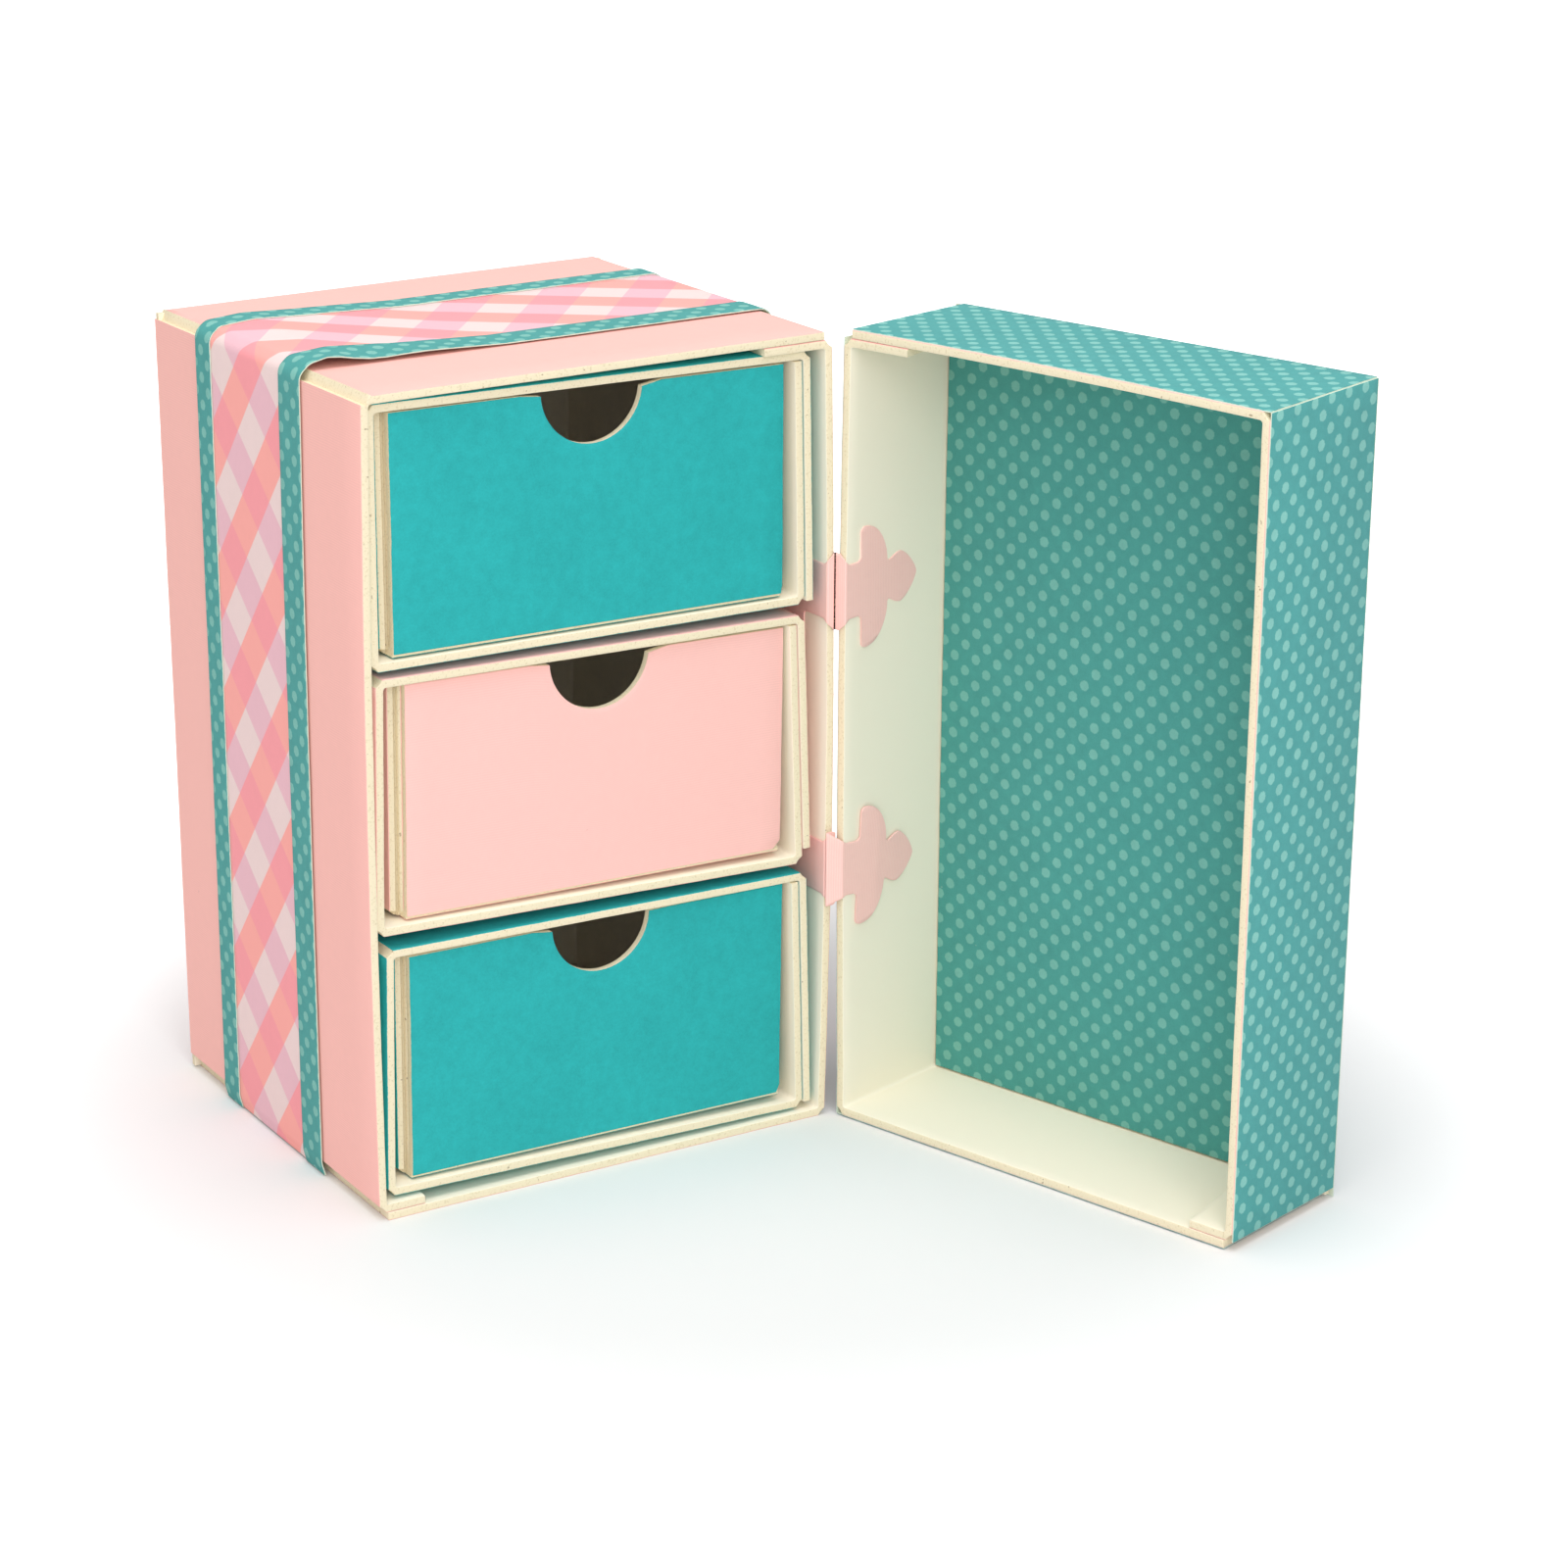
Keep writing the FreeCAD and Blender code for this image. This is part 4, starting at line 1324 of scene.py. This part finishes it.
def hinge_frames(height):
    """Each body's rim corner at a height, and its directions across the wall and into the box, from above."""
    case_rim = bowed(np.array([[case_width / 2, -case_depth / 2, height]]))[0, :2]
    cover_rim = on_cover(np.array([[0.0, 0.0, height - cover_lift]]))[0, :2]
    turn = open_angle - math.pi
    across_cover = np.array([math.cos(turn), math.sin(turn)])
    into_cover = np.array([-math.sin(turn), math.cos(turn)])
    return {
        "case": (case_rim, np.array([-1.0, 0.0]), np.array([0.0, 1.0])),
        "cover": (cover_rim, across_cover, into_cover),
    }


def hinge_strip(level, flare, corners, radii, crease_shade, seed):
    """Patch of a hinge: a creased strip whose route, seen from above, is an open path with rounded corners.

    Corners are ("case" or "cover", across the wall from its outer face, out in front of its rim), in
    millimetres, by the bowed walls at the hinge's height. The strip's half height at a point comes from
    how far behind the nearer rim it lies along the route. The cover's leaf turns about its rim by its tilt.
    The case's leaf has a longer neck. The crease's slit is painted dark with the card's core colour, as
    painted shade, by the amount given after the radii.
    """
    height = hinge_heights[level]
    frames = hinge_frames(height)
    route = []
    for body, across, out in corners:
        origin, sideways, inward = frames[body]
        route.append(origin + across * mm * sideways - out * mm * inward)
    fine, headings = rounded_route(route, np.array(radii) * mm, step=route_step)
    run = np.concatenate([[0], np.cumsum(np.linalg.norm(np.diff(fine, axis=0), axis=1))])
    wall = frames["case"][0]
    edge, into_cover = frames["cover"][0], frames["cover"][2]
    case_rim = run[np.argmax(fine[:, 1] < wall[1])]
    behind_cover = (fine - edge) @ into_cover
    cover_rim = run[len(run) - np.argmax(behind_cover[::-1] < 0) - 1]
    crease = run[np.argmin(np.linalg.norm(fine - route[crease_corner], axis=1))]
    stations = np.unique(np.concatenate([
        np.arange(0, run[-1], coarse_step),
        np.arange(case_rim - 0.8 * mm, cover_rim + 1.5 * mm, rim_step),
        case_rim - longer_neck * mm - outline_marks,
        cover_rim + outline_marks,
    ]).clip(case_rim - (tip + longer_neck) * mm, cover_rim + tip * mm))
    flat = np.stack([np.interp(stations, run, fine[:, k]) for k in (0, 1)], axis=-1)
    heading = np.stack([np.interp(stations, run, headings[:, k]) for k in (0, 1)], axis=-1)
    heading = heading / np.linalg.norm(heading, axis=1)[:, None]
    left = np.stack([-heading[:, 1], heading[:, 0]], axis=-1)
    behind_case = (case_rim - stations) / mm
    past_neck = np.maximum(flare_end, behind_case - longer_neck)
    behind_case = np.where(behind_case > flare_end, past_neck, behind_case)
    on_case_side = stations < (case_rim + cover_rim) / 2
    reach = np.where(on_case_side, behind_case, (stations - cover_rim) / mm)
    half = lily_half_height(reach, flare) * mm
    section = plain_section(flat, flat + card * left, stations)
    points, sheet, tone, faces = carried_along(
        section, height - half, height + half, np.linspace(0, 1, stations_over_leaf),
        near_edge=paper_edge, far_edge=paper_edge, uneven=0.05 * mm, seed=seed,
    )
    points = points[:, [0, 2, 1]]
    depth = (points[:, :2] - edge) @ into_cover
    tilt = cover_leaf_tilts[level]
    up = points[:, 2] - height
    swing = np.clip(depth / tilt_reach, 0, 1)
    points[:, :2] -= (up * math.sin(tilt) * swing)[:, None] * into_cover
    points[:, 2] += np.clip(depth, 0, None) * math.sin(tilt)
    # Painted shade: the tone rises by a bell curve about the crease, so the card's near-black core colour
    # shows there as the shade of its slit.
    tone = 0.05 * tone + crease_shade * np.exp(-((sheet[:, 0] - crease) / crease_shade_width) ** 2)
    return points, sheet, tone, faces


def make_hinge(level, patch):
    """The hinge's piece, bent between the case and the cover across the pivot line."""
    nodes = ["hinge_" + level + "_case_leaf", "hinge_" + level + "_cover_leaf"]
    piece = make_piece(level + "_hinge", [patch], hinge_card, None, "pink_paper", nodes)
    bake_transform(piece)


make_hinge("upper", hinge_strip(
    "upper", 1.9,
    [("case", 1.8, -23.5), ("case", 1.8, 0.5), ("case", 0.45, 0.5), ("case", 0.02, 0.12),
     ("cover", 0.5, 0.45), ("cover", 2.05, 0.42), ("cover", 2.05, -20.0)],
    radii=[0.4, 0.2, 0.08, 0.3, 0.3], crease_shade=0.18, seed=181,
))
make_hinge("lower", hinge_strip(
    "lower", 3.2,
    [("case", 1.8, -23.5), ("case", 1.8, 0.3), ("case", 0.1, 0.3),
     ("case", -0.35, -0.7), ("case", -0.15, 0.6), ("case", 1.95, 0.75),
     ("cover", 1.95, 0.35), ("cover", 2.5, -9.0), ("cover", 2.25, -20.0)],
    radii=[0.25, 0.12, 0.12, 0.12, 0.1, 0.3, 12.0], crease_shade=0.0, seed=191,
))
